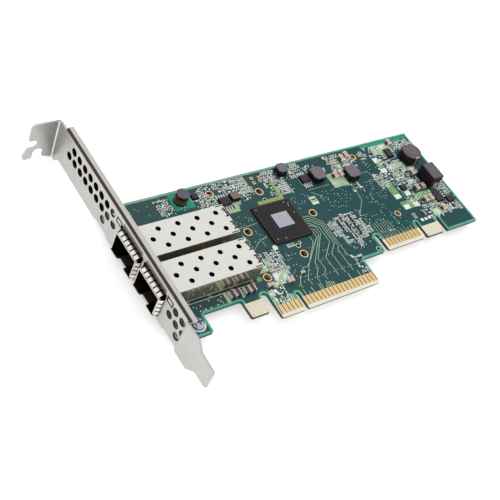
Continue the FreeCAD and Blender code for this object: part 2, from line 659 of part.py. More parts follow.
def port_cage(cage_y):
    """Folded cage: open mouth, vented roof, open floor over the receptacle, legs into the board."""
    half = CAGE_W / 2
    shell = box((CAGE_FRONT, cage_y - half, CAGE_LIFT), (CAGE_REAR, cage_y + half, CAGE_TOP))
    cuts = [box((CAGE_FRONT - 1, cage_y - half + CAGE_T, CAGE_LIFT + CAGE_T),
                (CAGE_REAR - CAGE_T, cage_y + half - CAGE_T, CAGE_TOP - CAGE_T))]
    floor_gap = SOCKET_W / 2 + SOCKET_GAP
    cuts.append(box((SOCKET_FRONT - FLOOR_GAP_FRONT, cage_y - floor_gap, CAGE_LIFT - 1),
                    (CAGE_REAR - CAGE_T, cage_y + floor_gap, CAGE_LIFT + 2 * CAGE_T)))
    for row in (-1, 0, 1):
        first = CAGE_VENT_X - (CAGE_VENT_PITCH / 2 if row == 0 else 0)
        for i in range(CAGE_VENT_COUNT):
            centre = (first + CAGE_VENT_PITCH * i, cage_y + CAGE_VENT_ROW * row)
            cuts.append(post(centre, CAGE_VENT_R, CAGE_TOP - 1, CAGE_TOP + 1))
    cuts += cage_seams(cage_y)
    cuts.append(lip_notch(cage_y))
    along, length, width = CAGE_LATCH
    cuts.append(block((CAGE_FRONT + along, cage_y), (length, width, 1.0), CAGE_LIFT - 0.5))
    cage = shell.cut(Part.makeCompound(cuts))
    leg = (CAGE_LEG_W, CAGE_T, CAGE_LEG_DROP + CAGE_LIFT + CAGE_LEG_ROOT)
    legs = [block(point, leg, -CAGE_LEG_DROP) for point in leg_points(cage_y)]
    return fuse([cage] + legs)


def bent_finger(reach, lift):
    """Section of one spring finger: rises from the mouth, crests and comes back to the wall."""
    start = CAGE_FRONT + SPRING_ROOT
    end = CAGE_FRONT + reach
    crest_in = CAGE_FRONT + reach * SPRING_CREST[0]
    crest_out = CAGE_FRONT + reach * SPRING_CREST[1]
    return [(start, SPRING_T), (crest_in, lift), (crest_out, lift), (end, SPRING_T),
            (end, 0), (crest_out, lift - SPRING_T), (crest_in, lift - SPRING_T), (start, 0)]


def finger_offsets(width, count, end):
    """Centres of fingers spread evenly over a side of the cage."""
    pitch = (width - 2 * end) / count
    return [pitch * (i - (count - 1) / 2) for i in range(count)]


def finger_row(offsets, reach, lift):
    """Row of fingers along Y on a wall at z = 0, each centred on its offset."""
    section = bent_finger(reach, lift)
    half = SPRING_W / 2
    return [outline("xz", section, offset - half, offset + half) for offset in offsets]


def spring_collar(cage_y):
    """Collar hugging the cage mouth, with a row of bent fingers on each of its four sides."""
    half_w = CAGE_W / 2
    mid_z = CAGE_LIFT + CAGE_H / 2
    band = box((CAGE_FRONT, cage_y - half_w - SPRING_T, CAGE_LIFT - SPRING_T),
               (CAGE_FRONT + SPRING_BAND, cage_y + half_w + SPRING_T, CAGE_TOP + SPRING_T))
    inner = box((CAGE_FRONT - 1, cage_y - half_w, CAGE_LIFT), (CAGE_REAR, cage_y + half_w, CAGE_TOP))
    pieces = [band.cut(inner).cut(lip_notch(cage_y))]
    roof = finger_offsets(CAGE_W, SPRING_ROOF_COUNT, SPRING_ROOF_END)
    flank = finger_offsets(CAGE_H, SPRING_SIDE_COUNT, SPRING_SIDE_END)
    floor = roof[:2] + roof[-2:]
    sides = ((0, roof, SPRING_REACH, SPRING_RISE, CAGE_H / 2),
             (90, flank, SPRING_REACH, SPRING_SIDE_RISE, half_w),
             (180, floor, SPRING_LOW_REACH, SPRING_SIDE_RISE, CAGE_H / 2),
             (270, flank, SPRING_REACH, SPRING_SIDE_RISE, half_w))
    for turn, offsets, reach, lift, wall in sides:
        for finger in finger_row(offsets, reach, lift):
            finger.translate(vec(0, 0, wall))
            finger.rotate(vec(0, 0, 0), vec(1, 0, 0), turn)
            finger.translate(vec(0, cage_y, mid_z))
            pieces.append(finger)
    return fuse(pieces)


def port_socket(cage_y):
    """Receptacle body with the slot that takes a module's edge card."""
    centre = (SOCKET_FRONT + SOCKET_L / 2, cage_y)
    body = block(centre, (SOCKET_L, SOCKET_W, SOCKET_H))
    half = SOCKET_SLOT_W / 2
    slot = box((SOCKET_FRONT - 1, cage_y - half, SOCKET_SLOT_Z[0]),
               (SOCKET_FRONT + SOCKET_SLOT_DEPTH, cage_y + half, SOCKET_SLOT_Z[1]))
    nose = box((SOCKET_FRONT - 1, cage_y - half, SOCKET_SLOT_Z[1] + SOCKET_LIP),
               (SOCKET_FRONT + SOCKET_NOSE, cage_y + half, SOCKET_H + 1))
    return body.cut(Part.makeCompound([slot, nose]))


def socket_contacts(cage_y):
    """Contact blades along the roof and floor of the receptacle's slot."""
    blades = []
    low, high = SOCKET_SLOT_Z
    first = cage_y - SOCKET_PITCH * (SOCKET_CONTACTS - 1) / 2
    for i in range(SOCKET_CONTACTS):
        y = first + SOCKET_PITCH * i
        x0 = SOCKET_FRONT + BLADE_SETBACK
        x1 = SOCKET_FRONT + SOCKET_SLOT_DEPTH
        y0 = y - SOCKET_BLADE / 2
        y1 = y + SOCKET_BLADE / 2
        blades.append(box((x0, y0, low), (x1, y1, low + SOCKET_BLADE)))
        blades.append(box((x0, y0, high - SOCKET_BLADE), (x1, y1, high)))
    return blades


def octagon_choke(centre, side, height, corner):
    """Moulded power choke: square body with cut corners and a softly broken top edge."""
    x, y = centre
    h = side / 2
    c = h - corner
    points = [(-c, -h), (c, -h), (h, -c), (h, c), (c, h), (-c, h), (-h, c), (-h, -c)]
    body = outline("xy", [(x + a, y + b) for a, b in points], CHOKE_PAD_T, height)
    top = [e for e in body.Edges if all(abs(v.Z - height) < 1e-6 for v in e.Vertexes)]
    return body.makeChamfer(CHOKE_CHAMFER, top)


def choke_pads(centre, side):
    """Pair of solder terminals under a choke, at its two ends."""
    pads = []
    for sign in (-1, 1):
        offset = sign * (side - CHOKE_PAD_REACH) / 2
        size = (CHOKE_PAD_REACH, side * CHOKE_PAD_SHARE, CHOKE_PAD_T)
        pads.append(block((centre[0] + offset, centre[1]), size))
    return pads


def drum_core():
    """Ferrite spool: round base, neck and an eight-sided head."""
    x, y = DRUM_XY
    base = post(DRUM_XY, DRUM_BASE_R, 0, DRUM_BASE_T)
    neck = post(DRUM_XY, DRUM_NECK_R, 0, DRUM_H)
    half_step = math.radians(22.5)
    r = DRUM_TOP_R / math.cos(half_step)
    angles = [half_step * (2 * i + 1) for i in range(8)]
    head_points = [(x + r * math.cos(a), y + r * math.sin(a)) for a in angles]
    head = outline("xy", head_points, DRUM_H - DRUM_TOP_T, DRUM_H)
    return fuse([base, neck, head])


def drum_winding():
    """Copper winding filling the spool between base and head."""
    low = DRUM_BASE_T
    high = DRUM_H - DRUM_TOP_T
    return post(DRUM_XY, DRUM_WINDING_R, low, high).cut(post(DRUM_XY, DRUM_NECK_R, low, high))


def end_notch(sign, depth, z0, z1):
    """Block that reaches into one end of the round choke by the given depth."""
    far = 1.0
    x, y = ROUND_XY
    middle = y + sign * (ROUND_R - depth + (depth + far) / 2)
    return block((x, middle), (ROUND_NOTCH_W, depth + far, z1 - z0), z0)


def round_choke():
    """Shielded round choke with a notch down each of its two ends for the terminal clip."""
    body = post(ROUND_XY, ROUND_R, ROUND_BASE, ROUND_H)
    top = [e for e in body.Edges if e.BoundBox.ZMin > ROUND_H - 0.01]
    body = body.makeChamfer(ROUND_CHAMFER, top)
    notches = [end_notch(sign, ROUND_NOTCH_DEPTH, 0, ROUND_H + 1) for sign in (-1, 1)]
    return body.cut(Part.makeCompound(notches))


def round_choke_clips():
    """Plate terminals: a foot under each end of the round choke and a strap up its notch."""
    clips = []
    x, y = ROUND_XY
    depth = ROUND_NOTCH_DEPTH
    for sign in (-1, 1):
        root = y + sign * (ROUND_R - depth)
        strap = block((x, root + sign * ROUND_CLIP_T / 2), (ROUND_NOTCH_W, ROUND_CLIP_T, ROUND_H))
        foot = block((x, root - sign * ROUND_CLIP_T), (ROUND_NOTCH_W, 4 * ROUND_CLIP_T, ROUND_BASE))
        clips.append(fuse([foot, strap]))
    return clips


def tall_choke():
    """Block choke on two bent feet; its top edges are broken by a small chamfer."""
    wide, deep, high = TALL_SIZE
    body = block(TALL_XY, (wide, deep, high - TALL_STAND), TALL_STAND)
    edges = [e for e in body.Edges if e.BoundBox.ZMax > high - 0.01]
    return body.makeChamfer(TALL_CHAMFER, edges)


def tall_choke_feet():
    """Bent strap feet at both ends of the block choke."""
    feet = []
    x, y = TALL_XY
    for sign in (-1, 1):
        end = y + sign * TALL_SIZE[1] / 2
        middle = end + sign * (STRAP_T - STRAP_FOOT / 2)
        foot = block((x, middle), (STRAP_W, STRAP_FOOT, TALL_STAND))
        strap = block((x, end + sign * STRAP_T / 2), (STRAP_W, STRAP_T, STRAP_H))
        feet.append(fuse([foot, strap]))
    return feet


def chip_body(centre, size, z0):
    """Moulded chip body with its top edges broken."""
    body = block(centre, (size[0], size[1], size[2] - z0), z0)
    top = [e for e in body.Edges if e.BoundBox.ZMin > size[2] - 0.01]
    return body.makeChamfer(CHIP_CHAMFER, top)


def gull_leads(centre, size, count, pitch, axis):
    """Gull-wing leads on both sides of a chip; axis is the direction the leads point."""
    lengthways = 0 if axis == "x" else 1
    plane = "xz" if axis == "x" else "yz"
    side = size[lengthways] / 2
    shoulder = size[2] / 2
    t = LEAD_T
    bend = side + LEAD_SHOULDER
    heel = bend + LEAD_SLOPE
    toe = side + LEAD_REACH
    profile = [(side, shoulder), (bend, shoulder), (heel, t), (toe, t), (toe, 0),
               (heel - LEAD_INNER, 0), (bend - LEAD_INNER, shoulder - t), (side, shoulder - t)]
    leads = []
    for i in range(count):
        middle = centre[1 - lengthways] + pitch * (i - (count - 1) / 2)
        for sign in (-1, 1):
            corners = [(centre[lengthways] + sign * a, b) for a, b in profile]
            leads.append(outline(plane, corners, middle - LEAD_W / 2, middle + LEAD_W / 2))
    return leads


def ceramic(centre, size, cap, along):
    """Ceramic chip: middle body and its two end caps."""
    x, y = centre
    if along == "y":
        body = block(centre, (size[0], size[1] - 2 * cap, size[2]))
        ends = [block((x, y + s * (size[1] - cap) / 2), (size[0], cap, size[2])) for s in (-1, 1)]
    else:
        body = block(centre, (size[0] - 2 * cap, size[1], size[2]))
        ends = [block((x + s * (size[0] - cap) / 2, y), (cap, size[1], size[2])) for s in (-1, 1)]
    return body, ends


def save_chips(kind, chips, cap, along):
    """Write the bodies and the metal ends of one kind of two-ended chip as two nodes."""
    bodies = []
    caps = []
    for centre, size in chips:
        body, ends = ceramic(centre, size, cap, along)
        bodies.append(body)
        caps += ends
    save(kind + "s", bodies)
    save(kind + "_ends", caps)


def build():
    os.makedirs("parts", exist_ok=True)
    save("circuit_board", circuit_board())

    front, back = contact_strips(finger_centres(), FINGER_W, FINGER_Y)
    save("edge_contacts_front", front)
    save("edge_contacts_back", back)
    front, back = contact_strips(side_finger_centres(), SIDE_FINGER_W, SIDE_FINGER_Y)
    save("side_contacts_front", front)
    save("side_contacts_back", back)

    save("mounting_bracket", mounting_bracket())
    save("vent_screen", vent_screen())
    save("bracket_screws", [bracket_screw(centre) for centre in SCREW_XY])

    for name, cage_y in zip(("upper", "lower"), CAGE_Y):
        save(name + "_port_cage", port_cage(cage_y))
        save(name + "_port_springs", spring_collar(cage_y))
        save(name + "_port_socket", port_socket(cage_y))
        save(name + "_port_contacts", socket_contacts(cage_y))

    side = PACKAGE_SIDE
    package = block(HEATSINK_XY, (side, side, PACKAGE_T))
    save("controller_package", package)
    save("controller_die", block(HEATSINK_XY, (DIE_X, DIE_Y, DIE_T), PACKAGE_T))

    save("power_chokes", [octagon_choke(*choke) for choke in CHOKES])
    pads = []
    for centre, side, height, corner in CHOKES:
        pads += choke_pads(centre, side)
    save("power_choke_pads", pads)
    save("drum_core", drum_core())
    save("drum_winding", drum_winding())
    save("round_choke", round_choke())
    save("round_choke_clips", round_choke_clips())
    save("tall_choke", tall_choke())
    save("tall_choke_feet", tall_choke_feet())

    bodies = []
    leads = []
    for centre, size, count, pitch, axis in SO_CHIPS:
        bodies.append(chip_body(centre, size, LEAD_STAND))
        leads += gull_leads(centre, size, count, pitch, axis)
    save("leaded_chips", bodies)
    save("chip_leads", leads)
    save("flat_chips", [chip_body(centre, size, 0.0) for centre, size in FLAT_CHIPS])
    save("grey_choke", chip_body(GREY_BLOCK[0], GREY_BLOCK[1], 0.0))

    chips = [(centre, CERAMIC_SIZE) for centre in CERAMICS]
    save_chips("ceramic_capacitor", chips, CERAMIC_CAP, "y")
    save_chips("chip_passive", EDGE_CHIPS, EDGE_CHIP_CAP, "x")
    chips = [((x, FILTER_ROW - gap), FILTER_SIZE) for x, gap in zip(FILTER_X, FILTER_GAP)]
    save_chips("filter_capacitor", chips, FILTER_CAP, "x")


build()
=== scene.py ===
import math
import random

import bmesh
import bpy
from mathutils import Matrix, Vector


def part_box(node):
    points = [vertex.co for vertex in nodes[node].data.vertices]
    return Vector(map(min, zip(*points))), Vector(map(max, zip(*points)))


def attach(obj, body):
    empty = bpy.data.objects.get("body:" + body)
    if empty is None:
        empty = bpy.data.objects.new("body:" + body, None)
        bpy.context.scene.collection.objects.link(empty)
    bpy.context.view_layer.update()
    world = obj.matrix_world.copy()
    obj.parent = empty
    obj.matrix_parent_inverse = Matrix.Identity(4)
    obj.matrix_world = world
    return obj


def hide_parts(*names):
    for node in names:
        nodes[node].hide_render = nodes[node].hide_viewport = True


# Looks of the network interface card.
# The card's frame: +X towards the tail, +Y up the card, +Z out of the component face.
# Sizes and places are written in millimetres, and MM brings them to metres.
MM = 0.001

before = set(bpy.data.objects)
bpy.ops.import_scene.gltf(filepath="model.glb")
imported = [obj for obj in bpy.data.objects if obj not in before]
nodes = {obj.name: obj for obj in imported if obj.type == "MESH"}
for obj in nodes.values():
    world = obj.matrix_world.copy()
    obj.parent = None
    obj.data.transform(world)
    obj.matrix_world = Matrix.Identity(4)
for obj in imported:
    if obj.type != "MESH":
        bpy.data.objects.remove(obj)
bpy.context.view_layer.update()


# ---------------------------------------------------------------- measures of the card
# Points nearer to each other than this are one point.
WELD = 0.001


def node_mm(name):
    """Lowest and highest corner of a CAD node."""
    low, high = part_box(name)
    return low / MM, high / MM


def islands_mm(name):
    """Plan rectangle (left, low, right, high) and top height of every separate solid of a CAD node."""
    bm = bmesh.new()
    bm.from_mesh(nodes[name].data)
    bmesh.ops.remove_doubles(bm, verts=bm.verts, dist=WELD * MM)
    waiting = set(bm.verts)
    found = []
    while waiting:
        group = [waiting.pop()]
        for vert in group:
            for edge in vert.link_edges:
                other = edge.other_vert(vert)
                if other in waiting:
                    waiting.remove(other)
                    group.append(other)
        xs, ys, zs = zip(*[vert.co / MM for vert in group])
        found.append((min(xs), min(ys), max(xs), max(ys), max(zs)))
    bm.free()
    return sorted(found)


def middle_of(rectangle):
    """Middle of a plan rectangle, whatever follows its four sides."""
    return (rectangle[0] + rectangle[2]) / 2, (rectangle[1] + rectangle[3]) / 2


CAGES = ("upper_port_cage", "lower_port_cage")
board_low, board_high = node_mm("circuit_board")
package_low, package_high = node_mm("controller_package")
BACK_FACE = board_low.z
BRACKET_LOW = node_mm("mounting_bracket")[0].z
CAGE_MIDDLES = [sum(corner.y for corner in node_mm(name)) / 2 for name in CAGES]
CORE = middle_of((package_low.x, package_low.y, package_high.x, package_high.y))

# Bare laminate: left, right and upper limit of the spare tabs and of the contact fields.
TAB_A = (-24.05, -15.47, 10.6)
TAB_B = (78.6, 89.2, 18.2)
EDGE_STRIP = (-12.15, 39.15, 5.5)
SIDE_STRIP = (54.7, 77.1, 18.1)

# Holes of the board: centre, radius, outer radius of the gold land.
COOLER_RING = 17.3
WIDE_HOLE = (1.6, 1.92)
NARROW_HOLE = (1.3, 1.58)
HOLES = [((CORE[0] + side * COOLER_RING, CORE[1]), *WIDE_HOLE) for side in (-1, 1)]
HOLES += [((CORE[0], CORE[1] + side * COOLER_RING), *WIDE_HOLE) for side in (-1, 1)]
HOLES += [((-7.6, y), *WIDE_HOLE) for y in (62.9, 18.3)]
HOLES += [((72.4, y), *NARROW_HOLE) for y in (62.8, 28.0)]
# Inner and outer radius of the lands round the screws, the locating holes and the cages' legs.
SCREW_LAND = (1.8, 3.25)
LOCATING_RIM = (0.86, 1.15)
LEG_LAND = (0.48, 0.78)
LOCATING_HOLES = ((49.8, 14.7), (CORE[0], 53.1), (CORE[0], 27.7))
# Distance of the first edge contact's middle from the key notch's.
CONTACT_START = 1.5


# ---------------------------------------------------------------- colours
def linear(channel):
    """Linear share of light for a 0 to 255 display value."""
    value = channel / 255
    return value / 12.92 if value <= 0.04045 else ((value + 0.055) / 1.055) ** 2.4


def colour(red, green, blue):
    """Linear colour from the 0 to 255 values of a display colour."""
    return (linear(red), linear(green), linear(blue), 1.0)


# ---------------------------------------------------------------- shader building
class Shader:
    """A material under construction: adds nodes and links, and hands out sockets."""

    def __init__(self, name, base, roughness, metallic=0.0, specular=0.5):
        self.material = bpy.data.materials.new(name)
        self.material.use_nodes = True
        self.tree = self.material.node_tree
        self.surface = self.tree.nodes["Principled BSDF"]
        for socket, value in (("Base Color", base), ("Roughness", roughness), ("Metallic", metallic),
                              ("Specular IOR Level", specular)):
            self.surface.inputs[socket].default_value = value
        self.place = self.add("ShaderNodeTexCoord").outputs["Object"]
        self.x, self.y, self.z = self.split(self.place)

    def add(self, kind):
        return self.tree.nodes.new(kind)

    def link(self, source, target):
        self.tree.links.new(source, target)

    def feed(self, value, socket):
        """Puts a socket, a number or a colour on an input."""
        if isinstance(value, bpy.types.NodeSocket):
            self.link(value, socket)
        else:
            socket.default_value = value

    def split(self, vector):
        node = self.add("ShaderNodeSeparateXYZ")
        self.link(vector, node.inputs[0])
        return node.outputs

    def normal(self):
        """The surface normal's x, y and z."""
        return self.split(self.add("ShaderNodeNewGeometry").outputs["Normal"])

    def math(self, operation, first, second=0.0, third=0.0):
        node = self.add("ShaderNodeMath")
        node.operation = operation
        for value, socket in zip((first, second, third), node.inputs):
            self.feed(value, socket)
        return node.outputs[0]

    def step(self, value, start, end):
        """Smooth rise from 0 at start to 1 at end."""
        node = self.add("ShaderNodeMapRange")
        node.interpolation_type = "SMOOTHSTEP"
        node.inputs["From Min"].default_value = start
        node.inputs["From Max"].default_value = end
        self.feed(value, node.inputs["Value"])
        return node.outputs["Result"]

    def rise(self, place, start, end):
        """Smooth rise along x, y or z, with both ends in millimetres."""
        return self.step(place, start * MM, end * MM)

    def within(self, place, low, high, soft=0.05):
        """1 where x, y or z lies between low and high, with soft edges; millimetres."""
        return self.all_of(self.step(place, low * MM - soft * MM, low * MM + soft * MM),
                           self.step(place, high * MM + soft * MM, high * MM - soft * MM))

    def all_of(self, first, *others):
        """1 where every mask is 1."""
        for mask in others:
            first = self.math("MULTIPLY", first, mask)
        return first

    def any_of(self, first, *others):
        """1 where any mask is 1."""
        for mask in others:
            first = self.math("MAXIMUM", first, mask)
        return first

    def noise(self, scale, detail=3.0, stretch=(1.0, 1.0, 1.0), rough=0.5):
        """Noise over the piece; scale counts features per metre."""
        mapping = self.add("ShaderNodeMapping")
        mapping.inputs["Scale"].default_value = stretch
        self.link(self.place, mapping.inputs["Vector"])
        node = self.add("ShaderNodeTexNoise")
        node.inputs["Scale"].default_value = scale
        node.inputs["Detail"].default_value = detail
        node.inputs["Roughness"].default_value = rough
        self.link(mapping.outputs[0], node.inputs["Vector"])
        return node.outputs["Fac"]

    def mix(self, factor, first, second):
        node = self.add("ShaderNodeMix")
        node.data_type = "RGBA"
        self.feed(factor, node.inputs["Factor"])
        self.feed(first, node.inputs["A"])
        self.feed(second, node.inputs["B"])
        return node.outputs["Result"]

    def vary(self, base, spread, scale):
        """base made lighter and darker in patches by the share spread."""
        node = self.add("ShaderNodeHueSaturation")
        amount = self.step(self.noise(scale), 0.3, 0.7)
        value = self.math("MULTIPLY_ADD", amount, 2 * spread, 1 - spread)
        self.feed(base, node.inputs["Color"])
        self.link(value, node.inputs["Value"])
        return node.outputs["Color"]

    def level(self, start, end):
        """1 on faces that look up or down, 0 on upright ones."""
        return self.step(self.math("ABSOLUTE", self.normal()[2]), start, end)

    def square_to(self, axis):
        """1 on faces whose normal is square to an axis, 0 on faces that look along it."""
        return self.step(self.math("ABSOLUTE", self.normal()[axis]), 0.7, 0.4)

    def colour_from(self, socket):
        self.link(socket, self.surface.inputs["Base Color"])

    def rough_from(self, socket, low, high):
        self.link(self.math("MULTIPLY_ADD", socket, high - low, low), self.surface.inputs["Roughness"])

    def bump_from(self, height, strength, depth=0.03):
        """Surface relief; depth in millimetres."""
        node = self.add("ShaderNodeBump")
        node.inputs["Strength"].default_value = strength
        node.inputs["Distance"].default_value = depth * MM
        self.link(height, node.inputs["Height"])
        self.link(node.outputs[0], self.surface.inputs["Normal"])


def plain_finish(name, base, roughness, metallic=0.0, spread=0.06, specular=0.5):
    """A finish with slight patches of tone, uneven gloss and a fine surface grain."""
    patches, grain, gloss = 225, 900, 0.06
    shader = Shader(name, base, roughness, metallic, specular)
    shader.colour_from(shader.vary(base, spread, patches))
    grainy = shader.noise(grain)
    shader.rough_from(grainy, roughness - gloss, roughness + gloss)
    shader.bump_from(grainy, 0.15)
    return shader.material


def shaded_sides_finish(name, top, side, roughness):
    """Moulded body whose upright sides are painted darker than its top face: painted shade."""
    shader = Shader(name, top, roughness, specular=0.2)
    # Painted shade: faces that look sideways take the darker side colour.
    shader.colour_from(shader.vary(shader.mix(shader.level(0.5, 0.85), side, top), 0.12, 1500))
    grain = shader.noise(5000)
    shader.rough_from(grain, roughness - 0.06, roughness + 0.08)
    shader.bump_from(grain, 0.25, 0.04)
    return shader.material


def laminate_mask(shader):
    """Where the board is bare laminate: spare tabs and the strips below the contacts."""
    beyond, soft = 1, 0.05
    return shader.any_of(*[
        shader.all_of(shader.within(shader.x, left - beyond, right + beyond),
                      shader.rise(shader.y, top + soft, top - soft))
        for left, right, top in (TAB_A, TAB_B, EDGE_STRIP, SIDE_STRIP)])


def laminate_tone(shader):
    """Cream laminate: yellower on the spare tabs, nearly white between the contacts."""
    contacts = shader.all_of(shader.rise(shader.x, TAB_A[1], EDGE_STRIP[0]),
                             shader.rise(shader.x, TAB_B[0], SIDE_STRIP[1]))
    return shader.mix(contacts, shader.vary(colour(242, 234, 208), 0.02, 500), colour(252, 247, 232))


def board_finish():
    """Dark blue-green solder mask, greyer at the bracket end, over a faint glass weave."""
    shader = Shader("board_mask", colour(34, 78, 84), 0.42, specular=0.18)
    green = shader.mix(shader.rise(shader.x, -40, 75), colour(52, 78, 80), colour(12, 64, 70))
    green = shader.mix(shader.math("MULTIPLY", shader.noise(45), 0.35), green, colour(26, 84, 84))
    weave = shader.noise(2600, 2, (1.0, 0.25, 1.0))
    green = shader.mix(shader.math("MULTIPLY", weave, 0.08), green, colour(96, 140, 132))
    surface = shader.mix(laminate_mask(shader), green, laminate_tone(shader))
    cut_edge = shader.vary(colour(70, 92, 82), 0.15, 1400)
    shader.colour_from(shader.mix(shader.level(0.3, 0.6), cut_edge, surface))
    shader.rough_from(weave, 0.36, 0.5)
    shader.bump_from(shader.noise(1500), 0.10)
    return shader.material


def border_finish(name, tone):
    """Mask along the board's edge, where no copper lies under it; greyer along the upper left."""
    shader = Shader(name, tone, 0.45, specular=0.18)
    upper_left = shader.all_of(shader.rise(shader.y, 60, 62), shader.rise(shader.x, 70, 0))
    mask = shader.mix(upper_left, shader.vary(tone, 0.12, 180), shader.vary(colour(138, 178, 162), 0.16, 400))
    shader.colour_from(shader.mix(laminate_mask(shader), mask, laminate_tone(shader)))
    shader.rough_from(shader.noise(2000), 0.38, 0.52)
    return shader.material


def contact_finish():
    """Gold plating, every other step of a millimetre a shade deeper."""
    shader = Shader("contact_gold", colour(206, 160, 84), 0.42, metallic=0.3)
    phase = shader.math("MULTIPLY_ADD", shader.x, math.pi / MM, -math.pi * CONTACT_START)
    shader.colour_from(shader.mix(shader.step(shader.math("COSINE", phase), -0.2, 0.2),
                                  colour(172, 126, 40), colour(232, 202, 108)))
    shader.rough_from(shader.noise(2500), 0.36, 0.48)
    return shader.material


def beside_ports(shader, reach):
    """1 within the given distance of either port's middle line."""
    return shader.any_of(*[shader.within(shader.y, y - reach, y + reach, 0.02) for y in CAGE_MIDDLES])


def bracket_finish():
    """Satin nickel plate with painted light: a dark brown painted reflection where the flange turns over,
    painted shade above the ports, on the tab and on the walls of the holes, and a thin painted highlight
    where the tab meets the face.
    """
    plate = colour(201, 200, 196)
    shader = Shader("bracket_plate", plate, 0.36, metallic=0.85)
    x, y, z = shader.x, shader.y, shader.z
    grain = shader.noise(3000, 2, (1.0, 0.06, 1.0), 0.6)
    # Painted reflection: a dark brown line where the flange turns over.
    bend = shader.all_of(shader.within(z, 15.2, 17.0), shader.within(x, -59.0, -57.3),
                         shader.within(y, 2.9, 98.0, 0.2))
    # Painted shade on the face just above each port's window.
    above_ports = shader.all_of(shader.rise(z, 15.0, 13.0), shader.rise(z, 11.6, 12.0),
                                beside_ports(shader, 7.3))
    # Painted shade on the tab, deepening towards the face.
    tab = shader.all_of(shader.rise(y, 103.2, 103.3), shader.rise(x, -68.0, -59.0))
    # Painted highlight: a thin near-white line where the tab meets the face.
    fold_highlight = shader.all_of(shader.within(y, 103.1, 103.55), shader.within(x, -58.7, -58.2))
    # Painted shade on the walls of the port windows and the other holes.
    hole_wall_shade = shader.all_of(shader.within(x, -58.27, -57.47, 0.02), shader.within(z, 0.3, 13.2),
                               shader.square_to(0))
    tone = shader.vary(plate, 0.03, 260)
    for mask, share, layer in (
            (grain, 0.12, colour(150, 152, 152)), (bend, 1.0, colour(74, 62, 56)),
            (above_ports, 0.9, colour(62, 54, 48)), (tab, 0.45, colour(96, 94, 92)),
            (fold_highlight, 1.0, colour(250, 250, 250)), (hole_wall_shade, 1.0, colour(44, 40, 38))):
        tone = shader.mix(shader.math("MULTIPLY", mask, share), tone, layer)
    shader.colour_from(tone)
    shader.rough_from(grain, 0.30, 0.42)
    shader.bump_from(grain, 0.10)
    return shader.material


def cage_finish():
    """Bright tin plate: satin on top, near mirror on the sides. Painted shade makes it dark inside the ports,
    on the mouth's lower lip, along the foot, under the spring fingers and between the cages, and paints the
    upright sides a darker, warmer copy of the plate.
    """
    plate = colour(224, 223, 218)
    shader = Shader("cage_plate", plate, 0.30, metallic=0.85)
    x, y, z = shader.x, shader.y, shader.z
    # Painted shade: the inside of each port, the mouth's lower lip, a band along the foot and the roof under
    # the spring fingers all take the dark shade colour.
    inside = shader.all_of(beside_ports(shader, 6.95), shader.within(z, -1, 9.55, 0.03),
                           shader.rise(x, -60.45, -60.3))
    mouth_lip_shade = shader.all_of(shader.rise(x, -57.0, -57.4), shader.rise(z, 1.0, 0.7))
    foot = shader.rise(z, 0.55, 0.45)
    under_finger_shade = shader.within(x, -60.1, -55.6, 0.1)
    dark = shader.any_of(inside, mouth_lip_shade, foot, under_finger_shade)
    # Painted shade on the low level faces between the two cages.
    between = shader.all_of(shader.within(y, 32.8, 36.1), shader.rise(z, 9.75, 9.3))
    roof = shader.mix(between, shader.vary(plate, 0.02, 300), colour(150, 130, 100))
    # Painted shade: the upright sides are a darker, warmer copy of the plate.
    side = shader.vary(colour(206, 194, 170), 0.12, 160)
    # Painted shade colour, near black to dark brown in patches.
    deep = shader.mix(shader.step(shader.noise(140, 2), 0.45, 0.75), colour(22, 15, 12), colour(84, 66, 54))
    shader.colour_from(shader.mix(dark, shader.mix(shader.level(0.3, 0.7), side, roof), deep))
    shader.rough_from(shader.level(0.3, 0.7), 0.17, 0.26)
    return shader.material


def spring_finish():
    """Bright sprung sheet; painted shade darkens the parts behind the face and under the mouth's lower lip.
    """
    plate = colour(236, 234, 228)
    shader = Shader("spring_plate", plate, 0.24, metallic=0.85)
    # Painted shade on the fingers behind the face and below the lower lip.
    finger_shade = shader.any_of(shader.rise(shader.x, -58.9, -58.2), shader.rise(shader.z, 0.9, 0.5))
    shader.colour_from(shader.mix(finger_shade, shader.vary(plate, 0.05, 900), colour(48, 38, 32)))
    shader.rough_from(shader.noise(2200), 0.18, 0.30)
    return shader.material


def plating_finish():
    """Pale gold lands; the walls of the holes carry painted shade in copper brown and a painted highlight on
    the faces that look towards -x.
    """
    gold = colour(238, 208, 154)
    shader = Shader("hole_plating", gold, 0.34, metallic=0.7)
    wall = shader.all_of(shader.square_to(2), shader.within(shader.z, -1.5, -0.03, 0.02))
    # Painted highlight on the wall faces that look towards -x; the rest of each wall is painted shade.
    lit_wall_highlight = shader.step(shader.math("MULTIPLY", shader.normal()[0], -1.0), 0.7, 0.95)
    tone = shader.mix(lit_wall_highlight, colour(158, 108, 62), colour(255, 230, 180))
    shader.colour_from(shader.mix(wall, shader.vary(gold, 0.08, 700), tone))
    shader.rough_from(shader.noise(2500), 0.26, 0.42)
    return shader.material


def package_finish():
    """Dark brown package face with a fine dull gold line round it and sparse specks."""
    face = colour(46, 42, 43)
    inner = 9.6
    shader = Shader("package_face", face, 0.5, specular=0.12)
    speck = shader.step(shader.noise(2400, 1), 0.70, 0.74)
    tone = shader.mix(speck, shader.vary(face, 0.10, 900), colour(96, 90, 70))
    inside = shader.all_of(shader.within(shader.x, CORE[0] - inner, CORE[0] + inner, 0.02),
                           shader.within(shader.y, CORE[1] - inner, CORE[1] + inner, 0.02))
    tone = shader.mix(inside, colour(96, 84, 56), tone)
    shader.colour_from(shader.mix(shader.level(0.3, 0.7), colour(30, 29, 32), tone))
    shader.rough_from(shader.noise(1500), 0.42, 0.58)
    return shader.material


